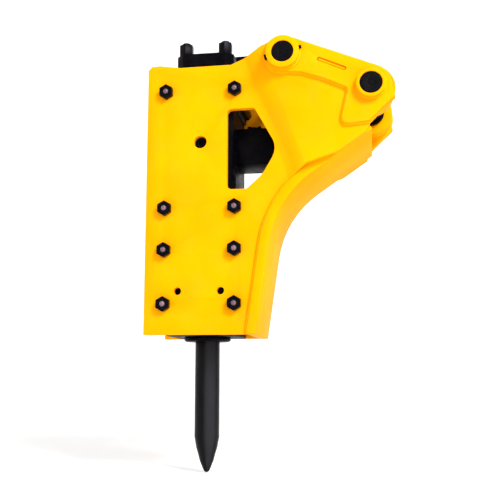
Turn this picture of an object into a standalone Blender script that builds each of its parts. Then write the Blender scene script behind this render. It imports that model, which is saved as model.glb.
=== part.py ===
"""Hydraulic breaker hammer clamped in a side-type bracket, with chisel, piston, control valve and ear pins.

Metres, +Z up, +X toward the excavator, +Y the far side. The world origin is the middle of the arm pin.
Outlines are drawn in the tool frame: x from the chisel's axis, z from the foot of the side plates.
"""

import math

import bmesh
import bpy
from mathutils import Vector

# Clearances
FIT = 0.0003
RUNNING_FIT = 0.0004

# Heights of the hammer body; the bracket and the pins follow them
FRONT_HEAD_FOOT = -0.001
FRONT_HEAD_TOP = 0.290
CYLINDER_LENGTH = 0.400
BACK_HEAD_HEIGHT = 0.112
CYLINDER_TOP = FRONT_HEAD_TOP + CYLINDER_LENGTH
BACK_HEAD_TOP = CYLINDER_TOP + BACK_HEAD_HEIGHT
PLATE_TOP = CYLINDER_TOP + 0.055

# Bracket
BODY_GAP = 0.210
PLATE = 0.020
EAR_STEP = 0.030
BACK_PLATE = 0.025
BACK_FOOT = 0.153
BACK_CORNER = Vector((0.2054, PLATE_TOP - 0.3865))
BACK_BEND_RADIUS = 0.281
NOSE_SLOPE = math.radians(34.7)
NOSE_CUT_X = 0.452
NOSE_X = 0.530
NOSE_Z = PLATE_TOP - 0.125
NOSE_STEPS = (Vector((-0.068, -0.067)), Vector((-0.040, -0.038)))
BEND_TOP = Vector((0.158, PLATE_TOP - 0.005))
BEND_LOW = Vector((0.262, PLATE_TOP - 0.305))
BEND_WIDTH = 0.052
EAR_LAP = 0.090
BACK_PLATE_END = NOSE_CUT_X + 0.016
DOUBLER = 0.010
SHOULDER_X = 0.085
SHOULDER_TOP = Vector((0.124, PLATE_TOP + 0.017))
FRONT_EDGE = ((-0.060, -0.001), (-0.118, 0.008), (-0.141, 0.006), (-0.150, -0.004))
BRIDGE_X = 0.096
BRIDGE = 0.010
BRIDGE_FOOT = PLATE_TOP + 0.021
BRIDGE_ROOM = 0.005
WINDOW_FRONT = 0.074
WINDOW_FOOT = PLATE_TOP - 0.354
WINDOW_TOP = PLATE_TOP - 0.127
WINDOW_BELLY = ((0.129, -0.354, 0.010), (0.172, -0.315, 0.080), (0.214, -0.243, 0.055),
                (0.190, -0.199, 0.120), (0.150, -0.127, 0.010))
SIGHT_HOLE_Z = PLATE_TOP - 0.218
SIGHT_HOLE_RADIUS = 0.018
DRIFT_HOLE_RADIUS = 0.0105
DOUBLER_INSET = 0.001
DOUBLER_FOOT = ((0.287, -0.047, 0.0), (0.338, -0.065, 0.0), (0.408, -0.097, 0.014), (0.384, -0.198, 0.016))
SLOT_START = Vector((0.331, PLATE_TOP - 0.014))
SLOT_END = Vector((0.398, PLATE_TOP - 0.044))
SLOT_RADIUS = 0.006

# Ear pins
ARM_PIN = Vector((0.467, PLATE_TOP - 0.093))
LINK_PIN = Vector((0.234, PLATE_TOP + 0.007))
PIN_RADIUS = 0.030
ARM_BOSS_WALL = 0.009
LINK_BOSS_WALL = 0.015
ARM_EAR_RIM = 0.017
LINK_EAR_RIM = 0.007
ARM_FLANGE = 0.060
SPACER_WALL = 0.0078
BOSS_FACE = 0.0187
PIN_RECESS = 0.003
LINK_GAP = 0.184
ARM_GAP = 0.120
LOCK_BOLT_RADIUS = 0.005
LOCK_BOLT_HEAD = 0.006
LOCK_BOLT_TILT = math.radians(14.5)

# Side bolts
SIDE_BOLT_RADIUS = 0.012
SIDE_BOLT_X = 0.0965
SIDE_BOLT_ROWS = (0.0815, FRONT_HEAD_TOP - 0.0624, FRONT_HEAD_TOP + 0.0522, CYLINDER_TOP - 0.017)
SIDE_BOLT_HEAD = 0.015
SIDE_NUT = 0.022
SIDE_BOLT_END = 0.006

# Hammer body
BODY_HALF = 0.094
WAIST_HALF = 0.088
WAIST_FOOT = CYLINDER_TOP - 0.253
WAIST_TOP = CYLINDER_TOP - 0.050
BODY_CHAMFER = 0.012
BACK_HEAD_HALF = 0.082
BACK_HEAD_CHAMFER = 0.020
STUD_RADIUS = 0.012
STUD_SPACING = 0.114
STUD_FOOT = 0.155
STUD_END = 0.006
STUD_NUT = 0.034

# Tool and its guides
TOOL_RADIUS = 0.034
TOOL_TIP = -0.367
POINT_HEIGHT = 0.095
POINT = ((0.93, 0.082), (0.854, 0.067), (0.70, 0.050), (0.56, 0.032), (0.356, 0.0147), (0.215, 0.0042))
TOOL_TOP = 0.250
TOOL_TRAVEL = 0.038
TOOL_NECK = 0.005
TAPER = 0.010
SHOULDER_Z = 0.205
FLAT_DEPTH = 0.0095
RETAINER_RADIUS = 0.018
RETAINER_Z = 0.116
RETAINER_END = 0.006
STOP_PIN_RADIUS = 0.008
STOP_PIN_X = 0.0585
STOP_PIN_END = 0.0037
BUSH_WALL = 0.020
THRUST_WALL = 0.016
THRUST_FOOT = 0.150
THRUST_TOP = 0.285
COVER_DROP = 0.012
COVER_WALL = 0.010

# Piston
PISTON_NOSE_RADIUS = 0.030
PISTON_RADIUS = 0.038
PISTON_ROD_RADIUS = 0.029
STRIKE_ROOM = 0.001
PISTON_STROKE = 0.060
PISTON_LAND = 0.060
PISTON_NECK = 0.040
PISTON_TOP = CYLINDER_TOP + 0.010
CHAMBER_FOOT = FRONT_HEAD_TOP + 0.102
SEAL_SEAT = CYLINDER_TOP - 0.050
SEAL_WALL = 0.020
GAS_ROOM = 0.010

# Control valve
VALVE_END = 0.222
VALVE_HALF = 0.052
VALVE_FOOT = CYLINDER_TOP - 0.212
VALVE_TOP = CYLINDER_TOP - 0.108
SPOOL_RADIUS = 0.0147
SPOOL_X = 0.135
SPOOL_STROKE = 0.012
SPOOL_ROOM = 0.004
SPOOL_FLOOR = 0.012
CAP_RADIUS = 0.028
CAP_HEIGHT = 0.012
ADJUSTER_RADIUS = 0.008
ADJUSTER_DEPTH = 0.030
ADJUSTER_HEAD = 0.018
PORT_RADIUS = 0.007
PORT_X = 0.195
PORT_Y = 0.028
PORT_DEPTH = 0.030
ADAPTER_HEX = 0.018
ADAPTER_LENGTH = 0.058
ADAPTER_RADIUS = 0.014

# Facets round full circles
FINE = 36
MEDIUM = 24
COARSE = 16
HEX = 6
HEX_PER_BOLT = 1.733

ARM_EAR_RADIUS = PIN_RADIUS + ARM_BOSS_WALL + ARM_EAR_RIM
LINK_EAR_RADIUS = PIN_RADIUS + LINK_BOSS_WALL + LINK_EAR_RIM
ARM_FLANGE_RADIUS = ARM_EAR_RADIUS + 0.005
HALF_GAP = BODY_GAP / 2
BODY_OUTER = HALF_GAP + PLATE
EAR_INNER = HALF_GAP + EAR_STEP
EAR_OUTER = EAR_INNER + PLATE
DOUBLER_OUTER = EAR_OUTER + FIT + DOUBLER
BOSS_OUTER = DOUBLER_OUTER + BOSS_FACE
BODY_DEPTH = HALF_GAP - FIT
STUD_HALF = STUD_SPACING / 2
RETAINER_Y = TOOL_RADIUS + RETAINER_RADIUS - FLAT_DEPTH + FIT + 0.0002
SEAT_RADIUS = TOOL_RADIUS + RUNNING_FIT
PISTON_FOOT = TOOL_TOP + TOOL_TRAVEL + STRIKE_ROOM


def clear_scene():
    """Remove every object of the scene."""
    for obj in list(bpy.data.objects):
        bpy.data.objects.remove(obj, do_unlink=True)


def make_collection(name, helper=False):
    """A collection in the scene; a helper one holds cutters and isn't rendered."""
    collection = bpy.data.collections.new(name)
    bpy.context.scene.collection.children.link(collection)
    collection.hide_render = helper
    return collection


def make_material(name, colour, roughness, metallic):
    """A Principled BSDF material of one colour."""
    material = bpy.data.materials.new(name)
    material.use_nodes = True
    shader = material.node_tree.nodes["Principled BSDF"]
    shader.inputs["Base Color"].default_value = (*colour, 1.0)
    shader.inputs["Roughness"].default_value = roughness
    shader.inputs["Metallic"].default_value = metallic
    material.diffuse_color = (*colour, 1.0)
    return material


clear_scene()
PARTS = make_collection("hydraulic_breaker")
CUTTERS = make_collection("cutters", helper=True)
YELLOW = make_material("yellow_paint", (0.95, 0.60, 0.02), 0.35, 0.0)
BLACK = make_material("black_paint", (0.02, 0.02, 0.025), 0.40, 0.0)
BLACK_STEEL = make_material("black_steel", (0.05, 0.05, 0.055), 0.35, 0.8)
DARK_STEEL = make_material("forged_steel", (0.12, 0.12, 0.13), 0.35, 1.0)
STEEL = make_material("ground_steel", (0.55, 0.56, 0.58), 0.25, 1.0)
BRONZE = make_material("bush_bronze", (0.60, 0.42, 0.18), 0.35, 1.0)
RUBBER = make_material("seal_rubber", (0.03, 0.03, 0.03), 0.80, 0.0)

TOOL_FRAME = bpy.data.objects.new("tool_frame", None)
TOOL_FRAME.location = (-ARM_PIN.x, 0.0, -ARM_PIN.y)
PARTS.objects.link(TOOL_FRAME)


# ---------------------------------------------------------------- building helpers

def add(name, mesh, material):
    """Place a mesh in the tool frame: a part when it has a material, otherwise a cutter."""
    obj = bpy.data.objects.new(name, mesh)
    obj.parent = TOOL_FRAME
    if material is None:
        CUTTERS.objects.link(obj)
        obj.hide_render = True
        obj.display_type = "WIRE"
    else:
        PARTS.objects.link(obj)
        obj.data.materials.append(material)
    return obj


def boolean(target, other, operation):
    """Join or cut the target with another object, exactly."""
    modifier = target.modifiers.new(other.name, "BOOLEAN")
    modifier.operation = operation
    modifier.solver = "EXACT"
    modifier.object = other


def cut(target, *cutters):
    """Cut each cutter out of the target."""
    for cutter in cutters:
        boolean(target, cutter, "DIFFERENCE")


def box(name, low, high, material=None):
    """A box between two opposite corners."""
    mesh = bpy.data.meshes.new(name)
    shape = bmesh.new()
    bmesh.ops.create_cube(shape, size=1.0)
    size = Vector(high) - Vector(low)
    bmesh.ops.scale(shape, vec=size, verts=shape.verts)
    shape.to_mesh(mesh)
    shape.free()
    obj = add(name, mesh, material)
    obj.location = (Vector(low) + Vector(high)) / 2
    return obj


def rod(name, start, end, radius, material=None, segments=MEDIUM):
    """A straight round or many-sided bar between two points."""
    start = Vector(start)
    along = Vector(end) - start
    mesh = bpy.data.meshes.new(name)
    shape = bmesh.new()
    bmesh.ops.create_cone(shape, cap_ends=True, segments=segments, radius1=radius, radius2=radius,
                          depth=along.length)
    bmesh.ops.translate(shape, vec=(0.0, 0.0, along.length / 2), verts=shape.verts)
    shape.to_mesh(mesh)
    shape.free()
    obj = add(name, mesh, material)
    obj.location = start
    obj.rotation_euler = along.to_track_quat("Z", "Y").to_euler()
    return obj


def turned(name, profile, place, material=None, steps=FINE, ring=False):
    """Turn a profile of (radius, height) points about the local Z axis; a ring's profile is closed."""
    mesh = bpy.data.meshes.new(name)
    points = [(radius, 0.0, height) for radius, height in profile]
    edges = [(i, i + 1) for i in range(len(points) - 1)]
    if ring:
        edges.append((len(points) - 1, 0))
    mesh.from_pydata(points, edges, [])
    obj = add(name, mesh, material)
    obj.location = place
    screw = obj.modifiers.new("turn", "SCREW")
    screw.steps = steps
    screw.render_steps = steps
    screw.use_merge_vertices = True
    screw.merge_threshold = 0.00005
    screw.use_smooth_shade = False
    return obj


def tube(name, outer, inner, low, high, place, material, steps=FINE):
    """A plain ring between two heights."""
    profile = [(outer, high), (outer, low), (inner, low), (inner, high)]
    return turned(name, profile, place, material, steps, ring=True)


def slab(name, loops, low, high, along, material=None):
    """Fill outlines with holes and give them thickness from low to high along Z or Y."""
    curve = bpy.data.curves.new(name, "CURVE")
    curve.dimensions = "2D"
    curve.fill_mode = "BOTH"
    curve.extrude = (high - low) / 2
    for loop in loops:
        spline = curve.splines.new("POLY")
        spline.points.add(len(loop) - 1)
        for point, (x, z) in zip(spline.points, loop):
            point.co = (x, z, 0.0, 1.0)
        spline.use_cyclic_u = True
    flat = bpy.data.objects.new(name + "_outline", curve)
    bpy.context.scene.collection.objects.link(flat)
    bpy.context.view_layer.update()
    mesh = bpy.data.meshes.new_from_object(flat.evaluated_get(bpy.context.evaluated_depsgraph_get()))
    bpy.data.objects.remove(flat)
    shape = bmesh.new()
    shape.from_mesh(mesh)
    bmesh.ops.remove_doubles(shape, verts=shape.verts, dist=0.000001)
    middle = (high + low) / 2
    for vert in shape.verts:
        if along == "Z":
            vert.co = (vert.co.x, vert.co.y, vert.co.z + middle)
        else:
            vert.co = (vert.co.x, middle - vert.co.z, vert.co.y)
    bmesh.ops.recalc_face_normals(shape, faces=shape.faces)
    bmesh.ops.dissolve_limit(shape, angle_limit=0.0001, verts=shape.verts, edges=shape.edges)
    shape.to_mesh(mesh)
    shape.free()
    mesh.name = name
    mesh.materials.clear()
    return add(name, mesh, material)


# ---------------------------------------------------------------- outline helpers

def arc(centre, radius, start, end, steps):
    """Points along an arc, both ends included."""
    points = []
    for step in range(steps + 1):
        angle = start + (end - start) * step / steps
        points.append(centre + radius * Vector((math.cos(angle), math.sin(angle))))
    return points


def circle(x, z, radius, steps=MEDIUM):
    """Points round a full circle."""
    return arc(Vector((x, z)), radius, 0.0, 2 * math.pi * (1 - 1 / steps), steps - 1)


def fillet(before, corner, after, radius, steps):
    """Points that round one corner of an outline with an arc that touches both its sides."""
    back = (before - corner).normalized()
    ahead = (after - corner).normalized()
    half = back.angle(ahead) / 2
    reach = radius / math.tan(half)
    centre = corner + (back + ahead).normalized() * radius / math.sin(half)
    first = corner + back * reach - centre
    last = corner + ahead * reach - centre
    sweep = first.angle_signed(last)
    points = []
    for step in range(steps + 1):
        turn = -sweep * step / steps
        cosine, sine = math.cos(turn), math.sin(turn)
        points.append(centre + Vector((first.x * cosine - first.y * sine, first.x * sine + first.y * cosine)))
    return points


def rounded(corners, steps=4):
    """A closed outline from (x, z, radius) corners; a radius of nought leaves the corner sharp."""
    points = []
    count = len(corners)
    for index, (x, z, radius) in enumerate(corners):
        corner = Vector((x, z))
        if radius == 0:
            points.append(corner)
            continue
        before = Vector(corners[index - 1][:2])
        after = Vector(corners[(index + 1) % count][:2])
        points += fillet(before, corner, after, radius, steps)
    return points


def chamfered(half_x, half_y, chamfer):
    """A rectangle about the tool axis with its four corners cut."""
    points = []
    for sx, sy in ((1, 1), (-1, 1), (-1, -1), (1, -1)):
        pair = [Vector((sx * half_x, sy * (half_y - chamfer))), Vector((sx * (half_x - chamfer), sy * half_y))]
        points += pair if sx == sy else pair[::-1]
    return points


def upper_tangent(first, first_radius, second, second_radius):
    """Angle of the line's normal that touches two circles from above; the first is on the right."""
    across = second - first
    lean = math.asin((first_radius - second_radius) / across.length)
    return math.atan2(across.y, across.x) - math.pi / 2 + lean


# ---------------------------------------------------------------- back plate lines

FOOT_LINE = (BACK_CORNER - Vector((BACK_FOOT, 0.0))).normalized()
FOOT_NORMAL = Vector((-FOOT_LINE.y, FOOT_LINE.x))
NOSE_LINE = Vector((math.cos(NOSE_SLOPE), math.sin(NOSE_SLOPE)))
NOSE_NORMAL = Vector((-NOSE_LINE.y, NOSE_LINE.x))


def back_foot(inset):
    """Foot of the line that lies this far inside the back plate's rear face."""
    point = Vector((BACK_FOOT, 0.0)) + FOOT_NORMAL * inset
    return point - FOOT_LINE * (point.y / FOOT_LINE.y)


def back_bend(inset, steps=8):
    """Points round the bend of the line that lies this far inside the rear face."""
    corner = BACK_CORNER + (FOOT_NORMAL + NOSE_NORMAL) * inset / (1 + FOOT_NORMAL.dot(NOSE_NORMAL))
    return fillet(back_foot(inset), corner, corner + NOSE_LINE, BACK_BEND_RADIUS + inset, steps)


def nose_point(x, inset=0.0):
    """Point of the rear face's nose line at an x, moved inside by the inset."""
    along = (x - BACK_CORNER.x) / NOSE_LINE.x
    return BACK_CORNER + NOSE_LINE * along + NOSE_NORMAL * inset


# ---------------------------------------------------------------- bracket

def nose_step(step, inset):
    """A point of the nose's cut, given by its distance from the nose's corner."""
    return Vector((NOSE_X - inset, NOSE_Z + inset)) + step


def ear_crown(inset):
    """The ear's outline from the nose's cut, over both pins, to the left of the link pin."""
    arm_radius = ARM_EAR_RADIUS - inset
    link_radius = LINK_EAR_RADIUS - inset
    touch = upper_tangent(ARM_PIN, arm_radius, LINK_PIN, link_radius)
    points = [nose_step(step, inset) for step in NOSE_STEPS]
    points.append(Vector((NOSE_X - inset, NOSE_Z)))
    points += arc(ARM_PIN, arm_radius, math.radians(10), touch, 6)
    points += arc(LINK_PIN, link_radius, touch, math.radians(115), 4)
    return points


def side_outline():
    """The side plate, drawn flat: body panel, bend and ear."""
    inside = BACK_PLATE + FIT
    bend = back_bend(inside)
    points = [Vector((FRONT_EDGE[-1][0], 0.0)), back_foot(inside)]
    points += bend
    points.append(bend[-1] + NOSE_LINE * EAR_LAP - NOSE_NORMAL * inside)
    points.append(nose_point(NOSE_CUT_X))
    points += ear_crown(0.0)
    points += [SHOULDER_TOP, Vector((SHOULDER_X, PLATE_TOP))]
    points += [Vector((x, PLATE_TOP + lift)) for x, lift in FRONT_EDGE]
    return points


def window_outline():
    """The D-shaped window beside the cylinder."""
    corners = [(WINDOW_FRONT, WINDOW_TOP, 0.014), (WINDOW_FRONT, WINDOW_FOOT, 0.014)]
    corners += [(x, PLATE_TOP + drop, radius) for x, drop, radius in WINDOW_BELLY]
    return rounded(corners)


def side_holes():
    """Every hole of a side plate: window, side bolts, sight hole, drift holes and both bosses."""
    holes = [window_outline()]
    for x in (-SIDE_BOLT_X, SIDE_BOLT_X):
        holes += [circle(x, z, SIDE_BOLT_RADIUS + FIT, COARSE) for z in SIDE_BOLT_ROWS]
    holes.append(circle(0.0, SIGHT_HOLE_Z, SIGHT_HOLE_RADIUS, MEDIUM))
    holes += [circle(x, RETAINER_Z, DRIFT_HOLE_RADIUS, COARSE) for x in (-STOP_PIN_X, STOP_PIN_X)]
    return holes + boss_holes()


def boss_holes():
    """The holes that the two bosses pass through."""
    arm = circle(ARM_PIN.x, ARM_PIN.y, PIN_RADIUS + ARM_BOSS_WALL + RUNNING_FIT, FINE)
    link = circle(LINK_PIN.x, LINK_PIN.y, PIN_RADIUS + LINK_BOSS_WALL + RUNNING_FIT, FINE)
    return [arm, link]


def fold_ear(obj, side):
    """Bend the flat plate along two parallel lines, so that the ear stands outside the body panel."""
    down = (BEND_LOW - BEND_TOP).normalized()
    across = Vector((-down.y, down.x, 0.0))
    normal = Vector((across.x, 0.0, across.y))
    middle = Vector((BEND_TOP.x, 0.0, BEND_TOP.y))
    shape = bmesh.new()
    shape.from_mesh(obj.data)
    for shift in (-BEND_WIDTH / 2, BEND_WIDTH / 2):
        geometry = shape.verts[:] + shape.edges[:] + shape.faces[:]
        bmesh.ops.bisect_plane(shape, geom=geometry, dist=0.000001, plane_co=middle + normal * shift,
                               plane_no=normal)
    for vert in shape.verts:
        station = (vert.co - middle).dot(normal) / BEND_WIDTH + 0.5
        vert.co.y += side * EAR_STEP * min(max(station, 0.0), 1.0)
    bmesh.ops.triangulate(shape, faces=[face for face in shape.faces if len(face.verts) > 4])
    shape.to_mesh(obj.data)
    shape.free()


def make_side_plates():
    """The two side plates, mirror images of each other."""
    for label, side in (("near", -1), ("far", 1)):
        low, high = sorted((side * HALF_GAP, side * BODY_OUTER))
        plate = slab("side_plate_" + label, [side_outline()] + side_holes(), low, high, "Y", YELLOW)
        fold_ear(plate, side)


def make_doublers():
    """The raised bar round both pins, with its foot down to the nose and a plug-weld slot."""
    crown = ear_crown(DOUBLER_INSET)
    lower = arc(LINK_PIN, LINK_EAR_RADIUS - DOUBLER_INSET, math.radians(115), math.radians(283), 12)
    heel = crown[0]
    foot = [(x, PLATE_TOP + drop, radius) for x, drop, radius in DOUBLER_FOOT] + [(heel.x, heel.y, 0.0)]
    outline = crown[1:] + lower[1:] + rounded(foot)
    heading = math.atan2(SLOT_END.y - SLOT_START.y, SLOT_END.x - SLOT_START.x)
    slot = arc(SLOT_START, SLOT_RADIUS, heading + math.pi / 2, heading + 1.5 * math.pi, 5)
    slot += arc(SLOT_END, SLOT_RADIUS, heading - math.pi / 2, heading + math.pi / 2, 5)
    for label, side in (("near", -1), ("far", 1)):
        low, high = sorted((side * (EAR_OUTER + FIT), side * DOUBLER_OUTER))
        slab("ear_doubler_" + label, [outline, slot] + boss_holes(), low, high, "Y", YELLOW)


def make_back_plate():
    """The curved plate between the ears, from the nose down to the foot."""
    outer = [back_foot(0.0)] + back_bend(0.0) + [nose_point(BACK_PLATE_END)]
    inner = [back_foot(BACK_PLATE)] + back_bend(BACK_PLATE) + [nose_point(BACK_PLATE_END, BACK_PLATE)]
    half = EAR_INNER - FIT
    slab("back_plate", [outer + inner[::-1]], -half, half, "Y", YELLOW)


def bend_start(z):
    """Where the plates' bend begins at a height, and how far it reaches along X."""
    slope = (BEND_LOW.x - BEND_TOP.x) / (BEND_LOW.y - BEND_TOP.y)
    reach = BEND_WIDTH * math.hypot(1.0, slope)
    return BEND_TOP.x + slope * (z - BEND_TOP.y) - reach / 2, reach


def make_bridge_plate():
    """The level cross plate behind the back head, widened to follow the bend of the side plates."""
    start, reach = bend_start(BRIDGE_FOOT)
    end = LINK_PIN.x - PIN_RADIUS - LINK_BOSS_WALL - BRIDGE_ROOM
    wide = BODY_DEPTH + EAR_STEP
    half = [Vector((BRIDGE_X, BODY_DEPTH)), Vector((start, BODY_DEPTH)), Vector((start + reach, wide)),
            Vector((end, wide))]
    outline = half + [Vector((point.x, -point.y)) for point in reversed(half)]
    slab("bridge_plate", [outline], BRIDGE_FOOT, BRIDGE_FOOT + BRIDGE, "Z", BLACK)


def pin_point(pin, y):
    """Point on a pin's axis."""
    return Vector((pin.x, y, pin.y))


def make_ear_pins():
    """Both pins with their bosses, lock bolts and the arm pin's spacer sleeves."""
    lock_y = DOUBLER_OUTER + BOSS_FACE / 2
    arm_inner = EAR_INNER - ARM_FLANGE
    settings = (("link", LINK_PIN, LINK_BOSS_WALL, None, LINK_GAP / 2, -1),
                ("arm", ARM_PIN, ARM_BOSS_WALL, ARM_FLANGE_RADIUS, arm_inner, 1))
    for label, pin, wall, flange, inner, lock_side in settings:
        outer_radius = PIN_RADIUS + wall
        reach = outer_radius + FIT
        lean = Vector((math.cos(LOCK_BOLT_TILT), 0.0, math.sin(LOCK_BOLT_TILT)))
        centre = pin_point(pin, lock_side * lock_y)
        end = centre + lean * (reach + 0.007)
        start = centre - lean * (reach + LOCK_BOLT_HEAD / 2)
        lock = rod(label + "_lock_bolt", start, end, LOCK_BOLT_RADIUS, BLACK_STEEL, COARSE)
        head = rod(label + "_lock_head", centre - lean * (reach + LOCK_BOLT_HEAD), centre - lean * reach,
                   LOCK_BOLT_RADIUS * HEX_PER_BOLT, None, HEX)
        boolean(lock, head, "UNION")
        drill = rod(label + "_lock_drill", centre - lean * 0.08, centre + lean * 0.08,
                    LOCK_BOLT_RADIUS + FIT, None, COARSE)
        pin_half = BOSS_OUTER - PIN_RECESS
        bar = rod(label + "_pin", pin_point(pin, -pin_half), pin_point(pin, pin_half), PIN_RADIUS, BLACK_STEEL,
                  FINE)
        cut(bar, drill)
        for name, side in (("near", -1), ("far", 1)):
            bore = PIN_RADIUS + RUNNING_FIT
            root = [(outer_radius, EAR_INNER - FIT), (flange, EAR_INNER - FIT), (flange, inner)]
            profile = [(outer_radius, BOSS_OUTER)] + (root if flange else [(outer_radius, inner)])
            profile += [(bore, inner), (bore, BOSS_OUTER)]
            boss = turned(f"{label}_boss_{name}", profile, pin_point(pin, 0.0), YELLOW, ring=True)
            boss.rotation_euler = (-side * math.pi / 2, 0.0, 0.0)
            if side == lock_side:
                cut(boss, drill)
    for name, side in (("near", -1), ("far", 1)):
        sleeve = tube("arm_spacer_" + name, PIN_RADIUS + SPACER_WALL, PIN_RADIUS + RUNNING_FIT, ARM_GAP / 2,
                      arm_inner - FIT, pin_point(ARM_PIN, 0.0), BLACK)
        sleeve.rotation_euler = (-side * math.pi / 2, 0.0, 0.0)


def make_side_bolts():
    """Eight long bolts through both side plates, each with a nut on the far side."""
    hex_radius = SIDE_BOLT_RADIUS * HEX_PER_BOLT
    seat = BODY_OUTER + FIT
    for label, x in (("front", -SIDE_BOLT_X), ("rear", SIDE_BOLT_X)):
        for number, z in enumerate(SIDE_BOLT_ROWS, start=1):
            tag = f"{label}_{number}"
            tip = (x, seat + SIDE_NUT + SIDE_BOLT_END, z)
            root = (x, -seat - SIDE_BOLT_HEAD / 2, z)
            bolt = rod("side_bolt_" + tag, root, tip, SIDE_BOLT_RADIUS, BLACK_STEEL, COARSE)
            head = rod("side_bolt_head_" + tag, (x, -seat - SIDE_BOLT_HEAD, z), (x, -seat, z), hex_radius,
                       None, HEX)
            boolean(bolt, head, "UNION")
            nut = rod("side_nut_" + tag, (x, seat, z), (x, seat + SIDE_NUT, z), hex_radius, BLACK_STEEL, HEX)
            thread = rod("side_thread_" + tag, (x, seat - 0.01, z), (x, seat + SIDE_NUT + 0.01, z),
                         SIDE_BOLT_RADIUS + FIT, None, COARSE)
            cut(nut, thread)


# ---------------------------------------------------------------- hammer body

def bolt_grooves(rows):
    """Cutters for the half-round grooves that key the side bolts into the body."""
    half = HALF_GAP + 0.02
    cutters = []
    for x in (-SIDE_BOLT_X, SIDE_BOLT_X):
        for z in rows:
            name = f"groove_{'front' if x < 0 else 'rear'}_{round(z * 1000)}"
            cutters.append(rod(name, (x, -half, z), (x, half, z), SIDE_BOLT_RADIUS + 2 * FIT, None, COARSE))
    return cutters


def stud_holes():
    """Outlines of the four holes for the through bolts."""
    corners = ((1, 1), (-1, 1), (-1, -1), (1, -1))
    return [circle(sx * STUD_HALF, sy * STUD_HALF, STUD_RADIUS + FIT, COARSE) for sx, sy in corners]


def make_front_head():
    """The front head: bush seats, chisel room, retaining and stop pin holes, stud holes."""
    outline = chamfered(BODY_HALF, BODY_DEPTH, BODY_CHAMFER)
    head = slab("front_head", [outline], FRONT_HEAD_FOOT, FRONT_HEAD_TOP, "Z", BLACK)
    bush = SEAT_RADIUS + BUSH_WALL + FIT
    thrust = SEAT_RADIUS + THRUST_WALL + FIT
    room = TOOL_RADIUS + 0.003
    step = lower_bush_top() + FIT
    profile = [(0.0, FRONT_HEAD_TOP + 0.01), (thrust, FRONT_HEAD_TOP + 0.01), (thrust, THRUST_FOOT)]
    profile += [(room, THRUST_FOOT), (room, step), (bush, step), (bush, FRONT_HEAD_FOOT - 0.01)]
    profile.append((0.0, FRONT_HEAD_FOOT - 0.01))
    cut(head, turned("front_head_bore", profile, (0.0, 0.0, 0.0)))
    for label, side in (("near", -1), ("far", 1)):
        y = side * RETAINER_Y
        cut(head, rod("retainer_hole_" + label, (-0.12, y, RETAINER_Z), (0.12, y, RETAINER_Z),
                      RETAINER_RADIUS + FIT))
        cut(head, stop_drill(label, side))
        for x in (-STUD_HALF, STUD_HALF):
            name = f"stud_socket_{label}_{'front' if x < 0 else 'rear'}"
            place = (x, side * STUD_HALF)
            cut(head, rod(name, (*place, STUD_FOOT - 0.005), (*place, FRONT_HEAD_TOP + 0.01), STUD_RADIUS + FIT,
                          None, COARSE))
    cut(head, *bolt_grooves(SIDE_BOLT_ROWS[:2]))


def lower_bush_top():
    """The lower bush ends just under the retaining pins."""
    return RETAINER_Z - RETAINER_RADIUS - 0.006


def stop_drill(label, side):
    """Cutter for a stop pin's hole, through the front head's wall and the retaining pin."""
    inner = RETAINER_Y - RETAINER_RADIUS - 0.004
    x = side * STOP_PIN_X
    return rod("stop_drill_" + label, (x, side * (HALF_GAP + 0.01), RETAINER_Z), (x, side * inner, RETAINER_Z),
               STOP_PIN_RADIUS + FIT, None, COARSE)


def make_cylinder():
    """The cylinder: stepped bore, waist for the window, stud holes and two oil drillings to the valve."""
    outline = chamfered(BODY_HALF, BODY_DEPTH, BODY_CHAMFER)
    body = slab("cylinder", [outline] + stud_holes(), FRONT_HEAD_TOP + FIT, CYLINDER_TOP, "Z", BLACK)
    guide = PISTON_NOSE_RADIUS + RUNNING_FIT
    chamber = PISTON_RADIUS + RUNNING_FIT
    seat = seal_radius() + FIT
    profile = [(0.0, CYLINDER_TOP + 0.01), (seat, CYLINDER_TOP + 0.01), (seat, SEAL_SEAT), (chamber, SEAL_SEAT)]
    profile += [(chamber, CHAMBER_FOOT), (guide, CHAMBER_FOOT), (guide, FRONT_HEAD_TOP - 0.01)]
    profile.append((0.0, FRONT_HEAD_TOP - 0.01))
    cut(body, turned("cylinder_bore", profile, (0.0, 0.0, 0.0)))
    for label, side in (("front", -1), ("rear", 1)):
        low, high = sorted((side * WAIST_HALF, side * (BODY_HALF + 0.01)))
        cut(body, box("waist_" + label, (low, -HALF_GAP - 0.01, WAIST_FOOT), (high, HALF_GAP + 0.01, WAIST_TOP)))
    for number, z in enumerate(port_heights(), start=1):
        cut(body, rod(f"cylinder_port_{number}", (0.025, 0.0, z), (WAIST_HALF + 0.01, 0.0, z), PORT_RADIUS,
                      None, COARSE))
    cut(body, *bolt_grooves(SIDE_BOLT_ROWS[2:]))


def make_back_head():
    """The back head with its gas chamber, open below."""
    outline = chamfered(BACK_HEAD_HALF, BACK_HEAD_HALF, BACK_HEAD_CHAMFER)
    head = slab("back_head", [outline] + stud_holes(), CYLINDER_TOP + FIT, BACK_HEAD_TOP, "Z", BLACK)
    roof = PISTON_TOP + PISTON_STROKE + GAS_ROOM
    cut(head, rod("gas_chamber", (0.0, 0.0, CYLINDER_TOP - 0.01), (0.0, 0.0, roof), seal_radius() - 0.006,
                  None, FINE))


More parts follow.
